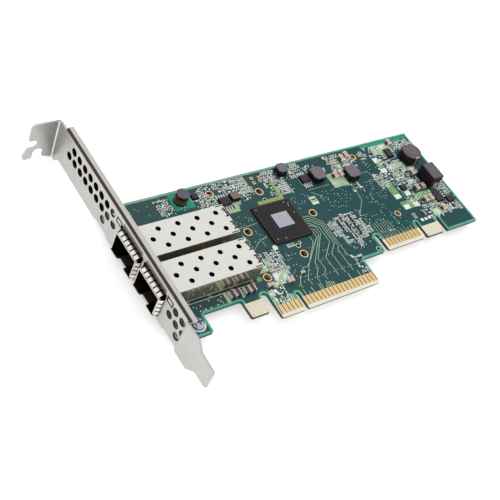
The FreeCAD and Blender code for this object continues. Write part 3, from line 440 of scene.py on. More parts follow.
def die_finish():
    """Polished silicon: pale lavender top and blue-black sides."""
    shader = Shader("polished_die", colour(176, 178, 190), 0.25, metallic=0.5, specular=0.2)
    top = shader.vary(colour(178, 178, 188), 0.03, 300)
    shader.colour_from(shader.mix(shader.level(0.5, 0.9), colour(30, 34, 48), top))
    return shader.material


def copper_finish():
    """Enamelled wire: warm copper in uneven patches."""
    shader = Shader("copper_wire", colour(168, 88, 44), 0.3, metallic=0.6)
    shader.colour_from(shader.vary(colour(160, 84, 42), 0.2, 900))
    shader.rough_from(shader.noise(2200), 0.22, 0.4)
    return shader.material


# Plain looks: material name, display colour, roughness, what differs from the usual.
PLAIN_LOOKS = {
    "clip": ("bright_clip", (240, 228, 198), 0.26, {"metallic": 0.8}),
    "bright": ("bright_solder", (238, 244, 240), 0.38, {"metallic": 0.3, "specular": 0.3}),
    "tin": ("tinned_metal", (222, 224, 226), 0.32, {"metallic": 0.75}),
    "pad": ("pale_pad", (238, 244, 238), 0.4, {"metallic": 0.2, "specular": 0.3}),
    "screw": ("bright_screw", (168, 178, 190), 0.16, {"metallic": 1.0}),
    # black_screen also colours the strips for the cage roof slots, painted shade seen through them.
    "black": ("black_screen", (5, 5, 6), 0.9, {"specular": 0.0}),
    "socket": ("black_socket", (16, 13, 12), 0.6, {"specular": 0.1}),
    # The latch plate's dark brown is painted shade inside the port's mouth.
    "flap": ("latch_flap", (58, 49, 42), 0.5, {"metallic": 0.4, "specular": 0.2}),
    "underfill": ("blue_underfill", (36, 42, 62), 0.35, {"specular": 0.3}),
    "ink": ("panel_ink", (50, 42, 48), 0.7, {"specular": 0.0}),
    "print": ("white_print", (236, 248, 240), 0.6, {"specular": 0.2}),
    "trace": ("mask_over_trace", (192, 220, 180), 0.45, {"specular": 0.2}),
    "via": ("covered_via", (204, 234, 206), 0.45, {"specular": 0.2}),
    "pour_green": ("pour_green", (126, 168, 110), 0.45, {"spread": 0.1, "specular": 0.2}),
    "pour_pale": ("pour_pale", (182, 210, 168), 0.45, {"spread": 0.16, "specular": 0.2}),
    "pour_lime": ("pour_lime", (152, 178, 108), 0.45, {"spread": 0.08, "specular": 0.2}),
    "pour_dark": ("pour_dark", (30, 66, 66), 0.45, {"spread": 0.08, "specular": 0.2}),
    "violet": ("oxidised_pad", (150, 150, 158), 0.4, {"metallic": 0.3, "specular": 0.3}),
    "pour_teal": ("pour_teal", (44, 160, 126), 0.45, {"spread": 0.08, "specular": 0.2}),
}

# Moulded looks: material name, display colours of the top and of the sides, roughness. Where the side colour
# is darker than the top, it is painted shade.
SHADED_SIDE_LOOKS = {
    "choke": ("moulded_choke", (124, 116, 126), (20, 16, 18), 0.5),
    "shielded": ("shielded_choke", (106, 98, 105), (20, 16, 18), 0.5),
    "ferrite": ("drum_ferrite", (104, 96, 104), (44, 36, 38), 0.5),
    "epoxy": ("chip_epoxy", (66, 55, 64), (12, 10, 11), 0.55),
    "grey": ("grey_choke", (132, 120, 118), (26, 22, 24), 0.55),
    "tan": ("tan_ceramic", (214, 180, 156), (96, 70, 50), 0.55),
    "brown": ("brown_ceramic", (112, 78, 66), (44, 30, 26), 0.5),
    "filter": ("grey_ceramic", (88, 82, 80), (34, 27, 26), 0.5),
    "pale": ("pale_ceramic", (214, 218, 214), (120, 122, 118), 0.55),
    "dark": ("resistor_body", (40, 36, 38), (18, 16, 16), 0.5),
    "mark": ("moulded_mark", (132, 124, 134), (132, 124, 134), 0.6),
}

finish = {
    "board": board_finish(),
    "border": border_finish("border_mask", colour(104, 184, 158)),
    "border_deep": border_finish("border_deep_mask", colour(56, 132, 116)),
    "bracket": bracket_finish(),
    "cage": cage_finish(),
    "spring": spring_finish(),
    "gold": contact_finish(),
    "rim": plating_finish(),
    "copper": copper_finish(),
    "package": package_finish(),
    "die": die_finish(),
}
for look, (name, tone, roughness, options) in PLAIN_LOOKS.items():
    finish[look] = plain_finish(name, colour(*tone), roughness, **options)
for look, (name, top, side, roughness) in SHADED_SIDE_LOOKS.items():
    finish[look] = shaded_sides_finish(name, colour(*top), colour(*side), roughness)

# Look of every CAD node.
NODE_LOOKS = {
    "board": ("circuit_board",),
    "bracket": ("mounting_bracket",),
    "cage": CAGES,
    "spring": ("upper_port_springs", "lower_port_springs"),
    "gold": ("edge_contacts_front", "edge_contacts_back", "side_contacts_front", "side_contacts_back",
             "upper_port_contacts", "lower_port_contacts"),
    "clip": ("round_choke_clips",),
    "black": ("vent_screen",),
    "screw": ("bracket_screws",),
    "socket": ("upper_port_socket", "lower_port_socket"),
    "package": ("controller_package",),
    "die": ("controller_die",),
    "choke": ("power_chokes",),
    "shielded": ("round_choke", "tall_choke"),
    "ferrite": ("drum_core",),
    "copper": ("drum_winding",),
    "epoxy": ("leaded_chips", "flat_chips"),
    "grey": ("grey_choke",),
    "tan": ("ceramic_capacitors", "chip_passives"),
    "filter": ("filter_capacitors",),
    "tin": ("ceramic_capacitor_ends", "chip_passive_ends", "filter_capacitor_ends", "chip_leads",
            "power_choke_pads", "tall_choke_feet"),
}
for look, names in NODE_LOOKS.items():
    for name in names:
        materials = nodes[name].data.materials
        materials.clear()
        materials.append(finish[look])


# ---------------------------------------------------------------- making pieces
# Thickness of thin dressings: flat fields, and lands that stand a little prouder.
SKIN = 0.02
PRINT = 0.03


def around(centre, size):
    """Plan rectangle of a size round a point."""
    x, y = centre
    return (x - size[0] / 2, y - size[1] / 2, x + size[0] / 2, y + size[1] / 2)


def make(name, bm, look, stands_for=()):
    """Turns a bmesh drawn in millimetres into a finished piece that rides with the card."""
    bmesh.ops.scale(bm, verts=bm.verts, vec=(MM, MM, MM))
    bmesh.ops.recalc_face_normals(bm, faces=bm.faces)
    mesh = bpy.data.meshes.new(name)
    bm.to_mesh(mesh)
    bm.free()
    mesh.materials.append(finish[look])
    piece = bpy.data.objects.new(name, mesh)
    bpy.context.scene.collection.objects.link(piece)
    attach(piece, "root")
    if stands_for:
        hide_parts(*stands_for)
    return piece


def grow(bm, faces, shift):
    """Grows flat faces into closed slabs along a shift and returns the new points."""
    grown = bmesh.ops.extrude_face_region(bm, geom=faces)["geom"]
    verts = [item for item in grown if isinstance(item, bmesh.types.BMVert)]
    bmesh.ops.translate(bm, verts=verts, vec=shift)
    return verts


def slab(bm, corners, z, height):
    """Closed plate over a plan outline."""
    face = bm.faces.new([bm.verts.new((x, y, z)) for x, y in corners])
    grow(bm, [face], (0, 0, height))


def patch(bm, rectangle, z, height):
    """Closed plate over a plan rectangle."""
    left, low, right, high = rectangle
    slab(bm, ((left, low), (right, low), (right, high), (left, high)), z, height)


def patches(name, rectangles, look, slot, z):
    """Piece made of thin rectangular fields."""
    bm = bmesh.new()
    for rectangle in rectangles:
        patch(bm, rectangle, z, SKIN)
    make(name, bm, look)


def disc(bm, centre, radius, z, height, sides):
    """Closed round plate."""
    spot = Matrix.Translation((centre[0], centre[1], z))
    ring = bmesh.ops.create_circle(bm, cap_ends=True, radius=radius, segments=sides, matrix=spot)
    grow(bm, list({face for vert in ring["verts"] for face in vert.link_faces}), (0, 0, height))


def turned(bm, centre, section, steps):
    """Ring turned about an upright axis from a closed section of points (radius, height)."""
    verts = [bm.verts.new((centre[0] + r, centre[1], z)) for r, z in section]
    edges = [bm.edges.new((verts[i - 1], verts[i])) for i in range(len(verts))]
    bmesh.ops.spin(bm, geom=verts + edges, cent=(centre[0], centre[1], 0), axis=(0, 0, 1),
                   dvec=(0, 0, 0), angle=2 * math.pi, steps=steps, use_merge=True, use_duplicate=False)


def rim(bm, centre, radii, z, height, steps):
    """Flat ring round a hole."""
    inner, outer = radii
    turned(bm, centre, ((inner, z), (outer, z), (outer, z + height), (inner, z + height)), steps)


def brick(bm, rectangle, z, height):
    """Box over a plan rectangle; its edges are eased by ease() once all are in place."""
    left, low, right, high = rectangle
    spot = Matrix.Translation(((left + right) / 2, (low + high) / 2, z + height / 2))
    size = Matrix.Diagonal((right - left, high - low, height, 1))
    bmesh.ops.create_cube(bm, size=1.0, matrix=spot @ size)


def ease(bm, offset):
    """Breaks every edge with one small flat."""
    bmesh.ops.bevel(bm, geom=bm.edges[:], offset=offset, offset_type="OFFSET", segments=1,
                    profile=0.5, affect="EDGES", clamp_overlap=True, material=-1)


def ribbon(bm, path, width, z, height):
    """Flat strip of even width along a bent path."""
    points = [Vector(point) for point in path]
    near = []
    far = []
    for i, point in enumerate(points):
        before = (point - points[i - 1]).normalized() if i else None
        after = (points[i + 1] - point).normalized() if i + 1 < len(points) else None
        before = before or after
        after = after or before
        along = (before + after).normalized()
        across = Vector((-along.y, along.x)) * (width / 2 / max(along.dot(after), 0.5))
        near.append(point + across)
        far.append(point - across)
    slab(bm, [tuple(point) for point in near + far[::-1]], z, height)


# ---------------------------------------------------------------- the board's own dressing
# Widths of the copper-free strip along the board's edge and of its paler outer part.
BORDER_W = 1.15
RIM_W = 0.8


def board_border(name, look, width, height):
    """Strip of the given width that follows the board's outline on its component face."""
    bm = bmesh.new()
    bm.from_mesh(nodes["circuit_board"].data)
    bmesh.ops.scale(bm, verts=bm.verts, vec=(1 / MM, 1 / MM, 1 / MM))
    bmesh.ops.remove_doubles(bm, verts=bm.verts, dist=WELD)
    looks_up, near_top = 0.9, -0.05
    unwanted = [face for face in bm.faces
                if face.normal.z < looks_up or face.calc_center_median().z < near_top]
    bmesh.ops.delete(bm, geom=unwanted, context="FACES")
    loops = []
    waiting = {edge for edge in bm.edges if edge.is_boundary}
    while waiting:
        loop = [waiting.pop()]
        for edge in loop:
            for vert in edge.verts:
                linked = [other for other in vert.link_edges if other in waiting]
                waiting.difference_update(linked)
                loop.extend(linked)
        loops.append(loop)
    loops.sort(key=lambda loop: sum(edge.calc_length() for edge in loop))
    holes = [edge for loop in loops[:-1] for edge in loop]
    bmesh.ops.holes_fill(bm, edges=holes, sides=0)
    bmesh.ops.dissolve_faces(bm, faces=bm.faces, use_verts=False)
    ring = bmesh.ops.inset_region(bm, faces=bm.faces, thickness=width, use_even_offset=True,
                                  use_boundary=True)["faces"]
    inner = [face for face in bm.faces if face not in set(ring)]
    bmesh.ops.delete(bm, geom=inner, context="FACES")
    bmesh.ops.translate(bm, verts=bm.verts, vec=(0, 0, height / 2))
    grow(bm, bm.faces[:], (0, 0, height / 2))
    make(name, bm, look)


# Fields of bare or lightly covered copper, as plan rectangles.
POURS = {
    "pour_lime": ((10.5, 51.3, 22.4, 53.1), (22.4, 51.3, 23.9, 62.0)),
    "pour_dark": ((81.0, 22.9, 85.6, 25.5),),
    "violet": ((78.9, 22.6, 81.2, 25.9), (84.8, 22.9, 87.2, 26.1)),
    "pour_teal": ((-26.0, 58.8, -16.8, 67.4), (79.7, 66.1, 109.2, 67.6)),
    "pour_green": (
        (38.0, 51.9, 50.0, 52.3), (77.2, 35.5, 81.3, 44.0),
        (77.7, 28.4, 87.6, 33.0), (81.6, 53.0, 84.4, 56.2), (86.6, 44.6, 91.6, 48.4),
        (93.5, 26.0, 97.4, 28.6), (59.2, 57.6, 62.2, 62.6), (-12.6, 17.6, -10.6, 23.0),
        (88.0, 32.2, 98.6, 35.2), (98.2, 21.4, 103.0, 23.6)),
    "pour_pale": (
        (35.0, 44.2, 38.7, 48.6), (51.5, 49.4, 60.0, 57.4), (-11.4, 9.6, -9.2, 12.6),
        (-10.4, 20.8, -4.8, 23.6), (-4.9, 13.8, -1.9, 26.4), (86.0, 50.6, 96.0, 53.6),
        (-1.7, 14.4, 1.6, 19.6), (-7.8, 13.2, -5.1, 15.4), (90.4, 40.4, 94.6, 43.0), (5.2, 58.9, 11.2, 60.2),
        (8.0, 64.4, 8.7, 67.2), (9.1, 64.4, 9.8, 67.2), (10.2, 64.4, 10.9, 67.2),
        (-4.8, 51.2, 1.0, 52.9), (-0.6, 52.9, 1.6, 56.0),
        (87.2, 60.4, 96.6, 66.0), (90.8, 21.0, 98.8, 24.6), (95.6, 47.6, 100.0, 49.8),
        (63.6, 45.8, 64.9, 49.6), (-29.6, 13.2, -28.2, 17.6), (-22.6, 13.4, -21.6, 17.4),
        (1.6, 54.2, 3.2, 56.0), (84.4, 60.6, 87.0, 66.0)),
}

# Bare solder pads, as plan rectangles.
PADS = (
    (78.2, 28.5, 81.5, 31.0), (84.0, 28.5, 87.4, 31.0), (77.6, 35.0, 81.0, 37.4), (84.0, 35.0, 87.2, 37.6),
    (81.3, 56.4, 84.4, 59.4), (81.3, 50.2, 84.4, 52.8), (35.3, 44.5, 36.4, 46.0), (36.9, 44.5, 38.0, 46.0),
    (86.8, 48.8, 90.2, 51.0), (92.4, 48.2, 95.2, 50.4), (96.4, 26.4, 98.0, 28.4),
    (93.2, 21.4, 94.8, 24.2), (96.6, 21.4, 98.4, 24.2),
    (60.9, 59.0, 62.6, 60.8), (64.6, 57.8, 68.4, 60.2), (86.0, 20.6, 87.6, 22.0), (81.4, 20.4, 83.0, 22.0),
    (83.8, 20.4, 85.2, 21.8), (87.0, 64.2, 89.2, 65.8), (90.6, 63.6, 93.4, 65.4), (96.6, 48.0, 98.4, 49.6),
    (-2.6, 22.0, -0.4, 23.4), (-4.6, 17.0, -2.8, 18.6), (-9.0, 10.8, -7.4, 12.0), (-10.8, 7.4, -9.6, 8.8),
)

# Traces under the mask: host lanes from the controller's right side to the edge contacts, then others.
LANES = (
    ((25.3, 39.8), (28.7, 39.8), (33.5, 35.0), (33.5, 16.6), (35.3, 15.0), (35.3, 9.1)),
    ((25.3, 38.6), (28.0, 38.6), (32.4, 34.3), (32.4, 21.8), (31.0, 20.5), (31.0, 9.1)),
    ((25.3, 37.5), (27.4, 37.5), (31.4, 33.6), (31.4, 23.6), (26.9, 19.5), (26.9, 9.1)),
    ((25.3, 36.3), (26.6, 36.3), (29.9, 33.0), (29.9, 25.0), (23.0, 18.6), (23.0, 9.1)),
    ((25.3, 35.0), (26.9, 35.0), (28.5, 33.4), (28.5, 30.0), (19.2, 19.1), (19.2, 13.6), (16.9, 11.4),
     (16.9, 9.1)),
    ((25.3, 33.6), (27.1, 32.3), (27.1, 29.5), (16.5, 17.7), (16.5, 15.5), (13.0, 11.4), (13.0, 9.1)),
    ((25.5, 32.3), (25.8, 29.1), (13.3, 17.7), (9.0, 12.3), (9.0, 9.1)),
    ((22.6, 30.0), (22.6, 27.3), (14.2, 18.6), (11.9, 17.3), (10.1, 17.5), (6.0, 13.6), (4.0, 10.9),
     (4.0, 9.1)),
)
OTHER_TRACES = (
    ((53.0, 32.5), (60.0, 40.0), (61.2, 50.0)), ((70.5, 53.2), (73.5, 53.5), (74.5, 51.5), (74.5, 46.5)),
    ((-10.6, 44.0), (-4.0, 43.0), (4.0, 43.4)), ((-6.0, 31.0), (-1.0, 34.6), (4.4, 36.2)),
    ((-8.0, 29.6), (-4.6, 36.2), (-6.0, 40.0)), ((38.4, 50.6), (41.4, 48.0), (41.8, 44.6)),
)
LANE_W = 0.22
FINE_W = 0.18
TRACE_Z = SKIN / 2

# Rows of short traces above the second connector: number, first x, step, path of one trace
# as (shift in x, height), and how much longer the second and third of every three are.
SIDE_ROWS = (
    (7, 55.8, 1.45, ((0.5, 18.4), (0.5, 20.6), (0, 21.4), (0, 26.2)), 0.9),
    (6, 66.0, 1.9, ((0, 18.4), (0, 20.2)), 0.5),
)
PAD_BRIDGE = ((82.7, 28.5), (82.7, 38.0))

# Stubs of the host contacts: width, share of contacts that have one, shortest and longest
# reach right and left of the key notch; every fifth contact of the second connector has a fine one.
STUB_W = 0.3
STUB_SHARE = 0.55
STUB_RIGHT = (1.4, 3.4)
STUB_LEFT = (2.6, 3.4)
SIDE_STUB_STEP = 5
SIDE_STUB = 1.2


def copper_fields():
    """Copper under thin mask, then the bare pads on it."""
    for look, rectangles in POURS.items():
        patches("copper_" + look, rectangles, look, "board", SKIN / 4)
    patches("bare_pads", PADS, "pad", "solder", SKIN)


def traces():
    """Traces under the mask."""
    bm = bmesh.new()
    for paths, width in ((LANES, LANE_W), (OTHER_TRACES, FINE_W)):
        for path in paths:
            ribbon(bm, path, width, TRACE_Z, SKIN)
    for count, first, step, path, longer in SIDE_ROWS:
        for i in range(count):
            x = first + step * i
            points = [(x + shift, y) for shift, y in path]
            points[-1] = (points[-1][0], points[-1][1] + longer * (i % 3))
            ribbon(bm, points, FINE_W, TRACE_Z, SKIN)
    ribbon(bm, PAD_BRIDGE, FINE_W, SKIN * 1.5, SKIN)
    make("board_traces", bm, "trace")


def contact_stubs():
    """Short run between some of the front contacts and the board's circuitry."""
    chance = random.Random(3)
    bm = bmesh.new()
    for left, low, right, high, top in islands_mm("edge_contacts_front"):
        middle = (left + right) / 2
        if chance.random() < STUB_SHARE:
            reach, width = (STUB_RIGHT, STUB_W) if middle > 0 else (STUB_LEFT, 2 * STUB_W)
            ribbon(bm, ((middle, high), (middle, high + chance.uniform(*reach))), width, TRACE_Z, SKIN)
    for left, low, right, high, top in islands_mm("side_contacts_front")[::SIDE_STUB_STEP]:
        middle = (left + right) / 2
        ribbon(bm, ((middle, high), (middle, high + SIDE_STUB)), FINE_W, TRACE_Z, SKIN)
    make("contact_stubs", bm, "trace")


# ---------------------------------------------------------------- places that stay free
STANDING = ("power_chokes", "drum_core", "round_choke", "tall_choke", "leaded_chips", "flat_chips",
            "grey_choke", "ceramic_capacitors", "ceramic_capacitor_ends", "chip_passives",
            "filter_capacitors", "chip_leads", "controller_package", "tall_choke_feet", "bracket_screws",
            *CAGES)
LOCATING_ROOM = 1.8
taken = [island[:4] for name in STANDING for island in islands_mm(name)]
taken += [around(centre, (2 * land, 2 * land)) for centre, hole, land in HOLES]
taken += [around(centre, (LOCATING_ROOM, LOCATING_ROOM)) for centre in LOCATING_HOLES]
taken += POURS["pour_lime"] + POURS["violet"] + POURS["pour_dark"]

# Lands of the chip leads: how far they reach outwards, past the lead's sides, and the room kept round them.
LEAD_REACH = 1.1
LEAD_MARGIN = 0.07
LEAD_ROOM = 0.5


def widened(rectangle, margin):
    """Plan rectangle with a margin added all round."""
    left, low, right, high = rectangle
    return (left - margin, low - margin, right + margin, high + margin)


def lead_spots():
    """Plan rectangle of each chip lead, lengthened away from its chip."""
    chips = [middle_of(island) for name in ("leaded_chips", "flat_chips") for island in islands_mm(name)]
    spots = []
    for left, low, right, high, top in islands_mm("chip_leads"):
        x, y = middle_of((left, low, right, high))
        chip = min(chips, key=lambda spot: math.dist(spot, (x, y)))
        if right - left > high - low:
            left, right = (left - LEAD_REACH, right) if x < chip[0] else (left, right + LEAD_REACH)
        else:
            low, high = (low - LEAD_REACH, high) if y < chip[1] else (low, high + LEAD_REACH)
        spots.append((left, low, right, high))
    return spots


LEAD_SPOTS = lead_spots()
taken += [widened(spot, LEAD_ROOM) for spot in LEAD_SPOTS]


def is_free(rectangle, margin, others):
    """Whether a plan rectangle keeps its margin to all the others."""
    left, low, right, high = rectangle
    return all(right + margin < a or left - margin > c or high + margin < b or low - margin > d
               for a, b, c, d in others)


# ---------------------------------------------------------------- vias
# Plan rectangle, number of vias, share drawn as bright bare rings.
VIA_FIELDS = (
    ((40.0, 38.0, 76.0, 50.0), 110, 0.35), ((52.0, 20.5, 76.0, 38.0), 80, 0.25),
    ((24.5, 44.0, 36.0, 52.0), 18, 0.4), ((-12.0, 30.5, 4.0, 53.0), 46, 0.25),
    ((2.0, 13.0, 36.0, 26.0), 46, 0.5), ((56.0, 58.0, 84.0, 66.6), 26, 0.5),
    ((38.0, 17.0, 50.0, 20.0), 12, 0.4), ((-46.0, 52.5, -28.0, 66.0), 20, 0.3),
    ((-14.0, 8.0, 4.0, 28.0), 26, 0.4), ((75.0, 34.0, 88.0, 60.0), 50, 0.5),
    ((25.0, 53.0, 34.0, 62.0), 14, 0.5), ((-44.0, 13.4, -14.0, 17.2), 16, 0.4),
)
VIA_R = 0.2
VIA_SIDES = 8
VIA_SPOT = (0.5, 0.5)
VIA_ROOM = 0.2
# Step, directions and lengths of the rows that vias come in.
RUN_STEP = 1.5
RUN_WAYS = ((1.0, 0.0), (0.0, 1.0), (0.7, 0.7), (0.7, -0.7), (0.0, 1.0))
RUN_COUNTS = (1, 1, 1, 2, 3)
# Row of bare vias above the host contacts: number, first place, step and rise of every second one.
CONTACT_VIAS = (17, (6.4, 11.3), 1.95, 0.3)


def vias():
    """Covered and bare vias in short rows."""
    chance = random.Random(5)
    covered = bmesh.new()
    bare = bmesh.new()
    for field, count, share in VIA_FIELDS:
        left, low, right, high = field
        drilled = 0
        while drilled < count:
            x, y = chance.uniform(left, right), chance.uniform(low, high)
            way = chance.choice(RUN_WAYS)
            target = bare if chance.random() < share else covered
            for i in range(chance.choice(RUN_COUNTS)):
                drilled += 1
                centre = (x + RUN_STEP * i * way[0], y + RUN_STEP * i * way[1])
                spot = around(centre, VIA_SPOT)
                inside = spot[0] > left and spot[1] > low and spot[2] < right and spot[3] < high
                if inside and is_free(spot, VIA_ROOM, taken):
                    disc(target, centre, VIA_R, SKIN, SKIN, VIA_SIDES)
    count, (x, y), step, rise = CONTACT_VIAS
    for i in range(count):
        disc(bare, (x + step * i, y + rise * (i % 2)), VIA_R, SKIN * 1.5, SKIN, VIA_SIDES)
    make("covered_vias", covered, "via")
    make("bare_vias", bare, "print")


# ---------------------------------------------------------------- holes
# Wall of the holes' lining and its gap to the board.
LINING = 0.1
LINING_GAP = 0.01
# Legs of a cage: first x, step, number along each side and distance in from the side.
LEGS = (-44.9, 10, 4, 0.15)


def hole_plating():
    """Gold lining of the board's holes and the lands round holes, cage legs and screws."""
    bm = bmesh.new()
    for centre, hole, land in HOLES:
        fit = hole - LINING_GAP
        section = ((fit - LINING, BACK_FACE - PRINT), (land, BACK_FACE - PRINT), (land, BACK_FACE),
                   (fit, BACK_FACE), (fit, 0), (land, 0), (land, PRINT), (fit - LINING, PRINT))
        turned(bm, centre, section, 28)
    make("hole_plating", bm, "rim")
    bm = bmesh.new()
    first, step, count, inset = LEGS
    for name in CAGES:
        low, high = node_mm(name)
        for i in range(count):
            for y in (low.y + inset, high.y - inset):
                for z in (0, BACK_FACE - PRINT):
                    rim(bm, (first + step * i, y), LEG_LAND, z, PRINT, 14)
    make("leg_lands", bm, "rim")
    bm = bmesh.new()
    for centre in LOCATING_HOLES:
        rim(bm, centre, LOCATING_RIM, 0, SKIN, 16)
    make("locating_hole_rims", bm, "via")
    bm = bmesh.new()
    for island in islands_mm("bracket_screws"):
        rim(bm, middle_of(island), SCREW_LAND, 0, SKIN, 32)
    make("screw_lands", bm, "bright")


# ---------------------------------------------------------------- small parts
# Length, width and height of the two sizes of chip parts.
CHIP_1005 = (1.0, 0.5, 0.4)
CHIP_1608 = (1.6, 0.85, 0.6)
# Share of the length under each metal end, size of the body against the ends, how far the pads
# reach past the ends and beside them, the eased edges, and the room kept between parts.
END_SHARE = 0.26
BODY_SHARE = 0.94
PAD_PAST = 0.12
PAD_LONGER = 0.3
PAD_WIDER = 0.16
EASE = 0.04
PART_ROOM = 0.12

# Shares of dark, brown and tan bodies in a field; the rest are pale.
USUAL = (0.25, 0.1, 0.12)
BROWNER = (0.25, 0.15, 0.12)
DARKER = (0.28, 0.1, 0.1)

# Fields of small parts: plan rectangle, size, pitch in x and y, direction of their length, filled share,
# and shares of the bodies.
PART_FIELDS = (
    ((-7.5, 59.8, 12.0, 61.8), CHIP_1005, 1.5, 1.1, "x", 0.6, USUAL),
    ((-4.6, 62.2, 11.6, 67.2), CHIP_1005, 1.0, 1.5, "y", 0.62, USUAL),
    ((24.6, 53.6, 30.0, 61.6), CHIP_1005, 1.6, 1.0, "x", 0.66, DARKER),
    ((20.6, 62.0, 27.4, 67.4), CHIP_1005, 1.0, 1.5, "y", 0.6, DARKER),
    ((-4.4, 19.6, 4.6, 28.8), CHIP_1005, 1.05, 1.5, "y", 0.66, (0.22, 0.06, 0.04)),
    ((-1.6, 14.8, 3.4, 19.2), CHIP_1005, 1.05, 1.5, "y", 0.5, (0.22, 0.06, 0.04)),
    ((-32.4, 58.6, -26.6, 66.4), CHIP_1005, 1.7, 1.15, "x", 0.55, USUAL),
    ((-13.6, 55.6, -8.4, 66.4), CHIP_1005, 1.6, 1.1, "x", 0.6, USUAL),
    ((34.2, 60.8, 41.4, 67.0), CHIP_1005, 1.05, 1.5, "y", 0.62, USUAL),
    ((42.0, 61.8, 50.6, 64.0), CHIP_1005, 1.1, 1.5, "y", 0.7, (0.2, 0.35, 0.2)),
    ((43.2, 64.2, 48.4, 65.4), CHIP_1608, 2.2, 1.4, "x", 0.9, (0.0, 0.3, 0.5)),
    ((57.4, 58.6, 64.0, 66.8), CHIP_1005, 1.05, 1.5, "y", 0.66, USUAL),
    ((66.0, 57.8, 70.0, 66.4), CHIP_1608, 2.0, 1.4, "x", 0.5, (0.3, 0.2, 0.2)),
    ((75.2, 43.8, 80.2, 50.4), CHIP_1005, 1.5, 1.05, "x", 0.66, DARKER),
    ((76.2, 60.4, 80.4, 65.4), CHIP_1005, 1.5, 1.05, "x", 0.5, DARKER),
    ((84.6, 61.0, 89.4, 66.0), CHIP_1005, 1.5, 1.05, "x", 0.75, BROWNER),
    ((85.2, 53.8, 96.0, 57.4), CHIP_1005, 1.55, 1.1, "x", 0.75, BROWNER),
    ((85.6, 44.4, 95.0, 50.8), CHIP_1005, 1.1, 1.55, "y", 0.6, BROWNER),
    ((94.6, 60.0, 100.4, 65.6), CHIP_1005, 1.1, 1.55, "y", 0.7, BROWNER),
    ((101.0, 61.0, 109.0, 65.4), CHIP_1005, 1.5, 1.05, "x", 0.6, BROWNER),
    ((84.0, 31.8, 90.0, 34.6), CHIP_1005, 1.5, 1.05, "x", 0.5, BROWNER),
    ((82.6, 40.0, 97.0, 44.0), CHIP_1005, 1.1, 1.55, "y", 0.5, BROWNER),
    ((103.0, 31.0, 109.2, 36.4), CHIP_1005, 1.05, 1.5, "y", 0.7, USUAL),
    ((100.4, 20.6, 109.0, 24.8), CHIP_1005, 1.5, 1.05, "x", 0.55, USUAL),
    ((88.4, 24.6, 94.6, 28.0), CHIP_1005, 1.5, 1.05, "x", 0.5, BROWNER),
    ((5.2, 63.0, 11.8, 63.4), CHIP_1608, 1.25, 1.6, "y", 1.0, (0.2, 0.8, 0.0)),
    ((10.0, 28.8, 17.2, 30.8), CHIP_1005, 0.8, 1.6, "y", 1.0, (0.2, 0.35, 0.2)),
)
# Decoupling parts right of the host lanes: blocks with the direction of their parts, then square dark parts.
CLUSTER_BLOCKS = (
    ((35.4, 25.6, 39.2, 34.4), "x"), ((39.6, 27.6, 41.6, 34.6), "y"), ((43.4, 32.8, 44.6, 36.6), "y"),
    ((42.6, 26.9, 45.0, 32.3), "y"), ((46.0, 28.7, 50.2, 35.4), "x"), ((50.7, 27.8, 52.0, 31.4), "y"),
    ((46.2, 22.6, 49.9, 27.5), "y"), ((38.2, 21.6, 41.8, 25.2), "x"), ((43.0, 18.9, 44.9, 25.8), "y"),
    ((50.8, 23.6, 54.8, 27.2), "x"))
CLUSTER_PART = (1.0, 0.5, 0.3)
CLUSTER_STEP = (1.35, 0.92)
CLUSTER_SHARE = 0.9
CLUSTER_SHARES = (0.3, 0.0, 0.0)
CLUSTER_JITTER = (0.08, 0.05)
CLUSTER_DOTS = ((40.2, 33.2), (40.2, 31.7), (40.2, 30.0), (40.2, 28.6), (43.7, 31.6), (43.7, 29.8),
                (43.7, 28.2), (47.4, 34.0), (47.4, 32.6), (47.5, 31.0), (47.2, 29.5), (47.3, 26.2),
                (47.1, 24.6))
DOT_W = 0.9
# Left edges of a dark part's two pads from its own left and right edge, and their length.
DOT_PADS = (-0.6, 0.1)
DOT_PAD = 0.5

# Single parts: centre, size, direction of their length, look of the body.
SINGLE_PARTS = (
    ((36.2, 46.7), (1.5, 0.8, 0.5), "y", "dark"), ((37.5, 46.7), (1.5, 0.8, 0.5), "y", "dark"),
    ((-12.0, 58.2), CHIP_1608, "y", "tan"), ((7.0, 56.4), CHIP_1608, "y", "brown"),
    ((52.4, 60.2), CHIP_1608, "y", "tan"), ((88.6, 57.6), CHIP_1608, "x", "brown"),
    ((90.4, 46.4), CHIP_1608, "y", "tan"), ((93.4, 41.6), CHIP_1608, "x", "tan"),
    ((98.0, 26.2), CHIP_1608, "x", "brown"), ((104.4, 64.2), CHIP_1608, "y", "brown"),
    ((51.8, 25.4), CHIP_1005, "y", "brown"), ((52.7, 25.4), CHIP_1005, "y", "brown"),
    ((53.6, 25.4), CHIP_1005, "y", "brown"),
)


def chip_part(boards, centre, size, along, look):
    """One two-ended part: body, metal ends and the pads that it stands on."""
    length, width, height = size
    end = length * END_SHARE
    reach = (length - end) / 2
    way = 1 if along == "y" else 0

    def spot(shift, long, wide):
        middle = list(centre)
        middle[way] += shift
        return around(middle, (wide, long) if way else (long, wide))

    brick(boards[look], spot(0, length - end, width * BODY_SHARE), SKIN * 2, height * BODY_SHARE)
    for sign in (-1, 1):
        brick(boards["bright"], spot(sign * reach, end, width), SKIN * 2, height)
        patch(boards["pad"], spot(sign * (reach + PAD_PAST), end + PAD_LONGER, width + PAD_WIDER), SKIN, SKIN)


def body_look(chance, shares):
    """Look drawn from the shares of dark, brown and tan bodies."""
    draw = chance.random()
    if draw < shares[0]:
        return "dark"
    if draw < shares[0] + shares[1]:
        return "brown"
    return "tan" if draw < sum(shares) else "pale"


# Look of each kind of piece, its name and a slot name, which is not used.
PART_PIECES = {
    "dark": ("chip_resistors", "chip_epoxy"), "brown": ("chip_beads", "grey_ceramic"),
    "tan": ("chip_capacitors", "tan_ceramic"), "pale": ("chip_arrays", "grey_ceramic"),
    "bright": ("chip_terminals", "solder"), "pad": ("chip_pads", "solder"),
}


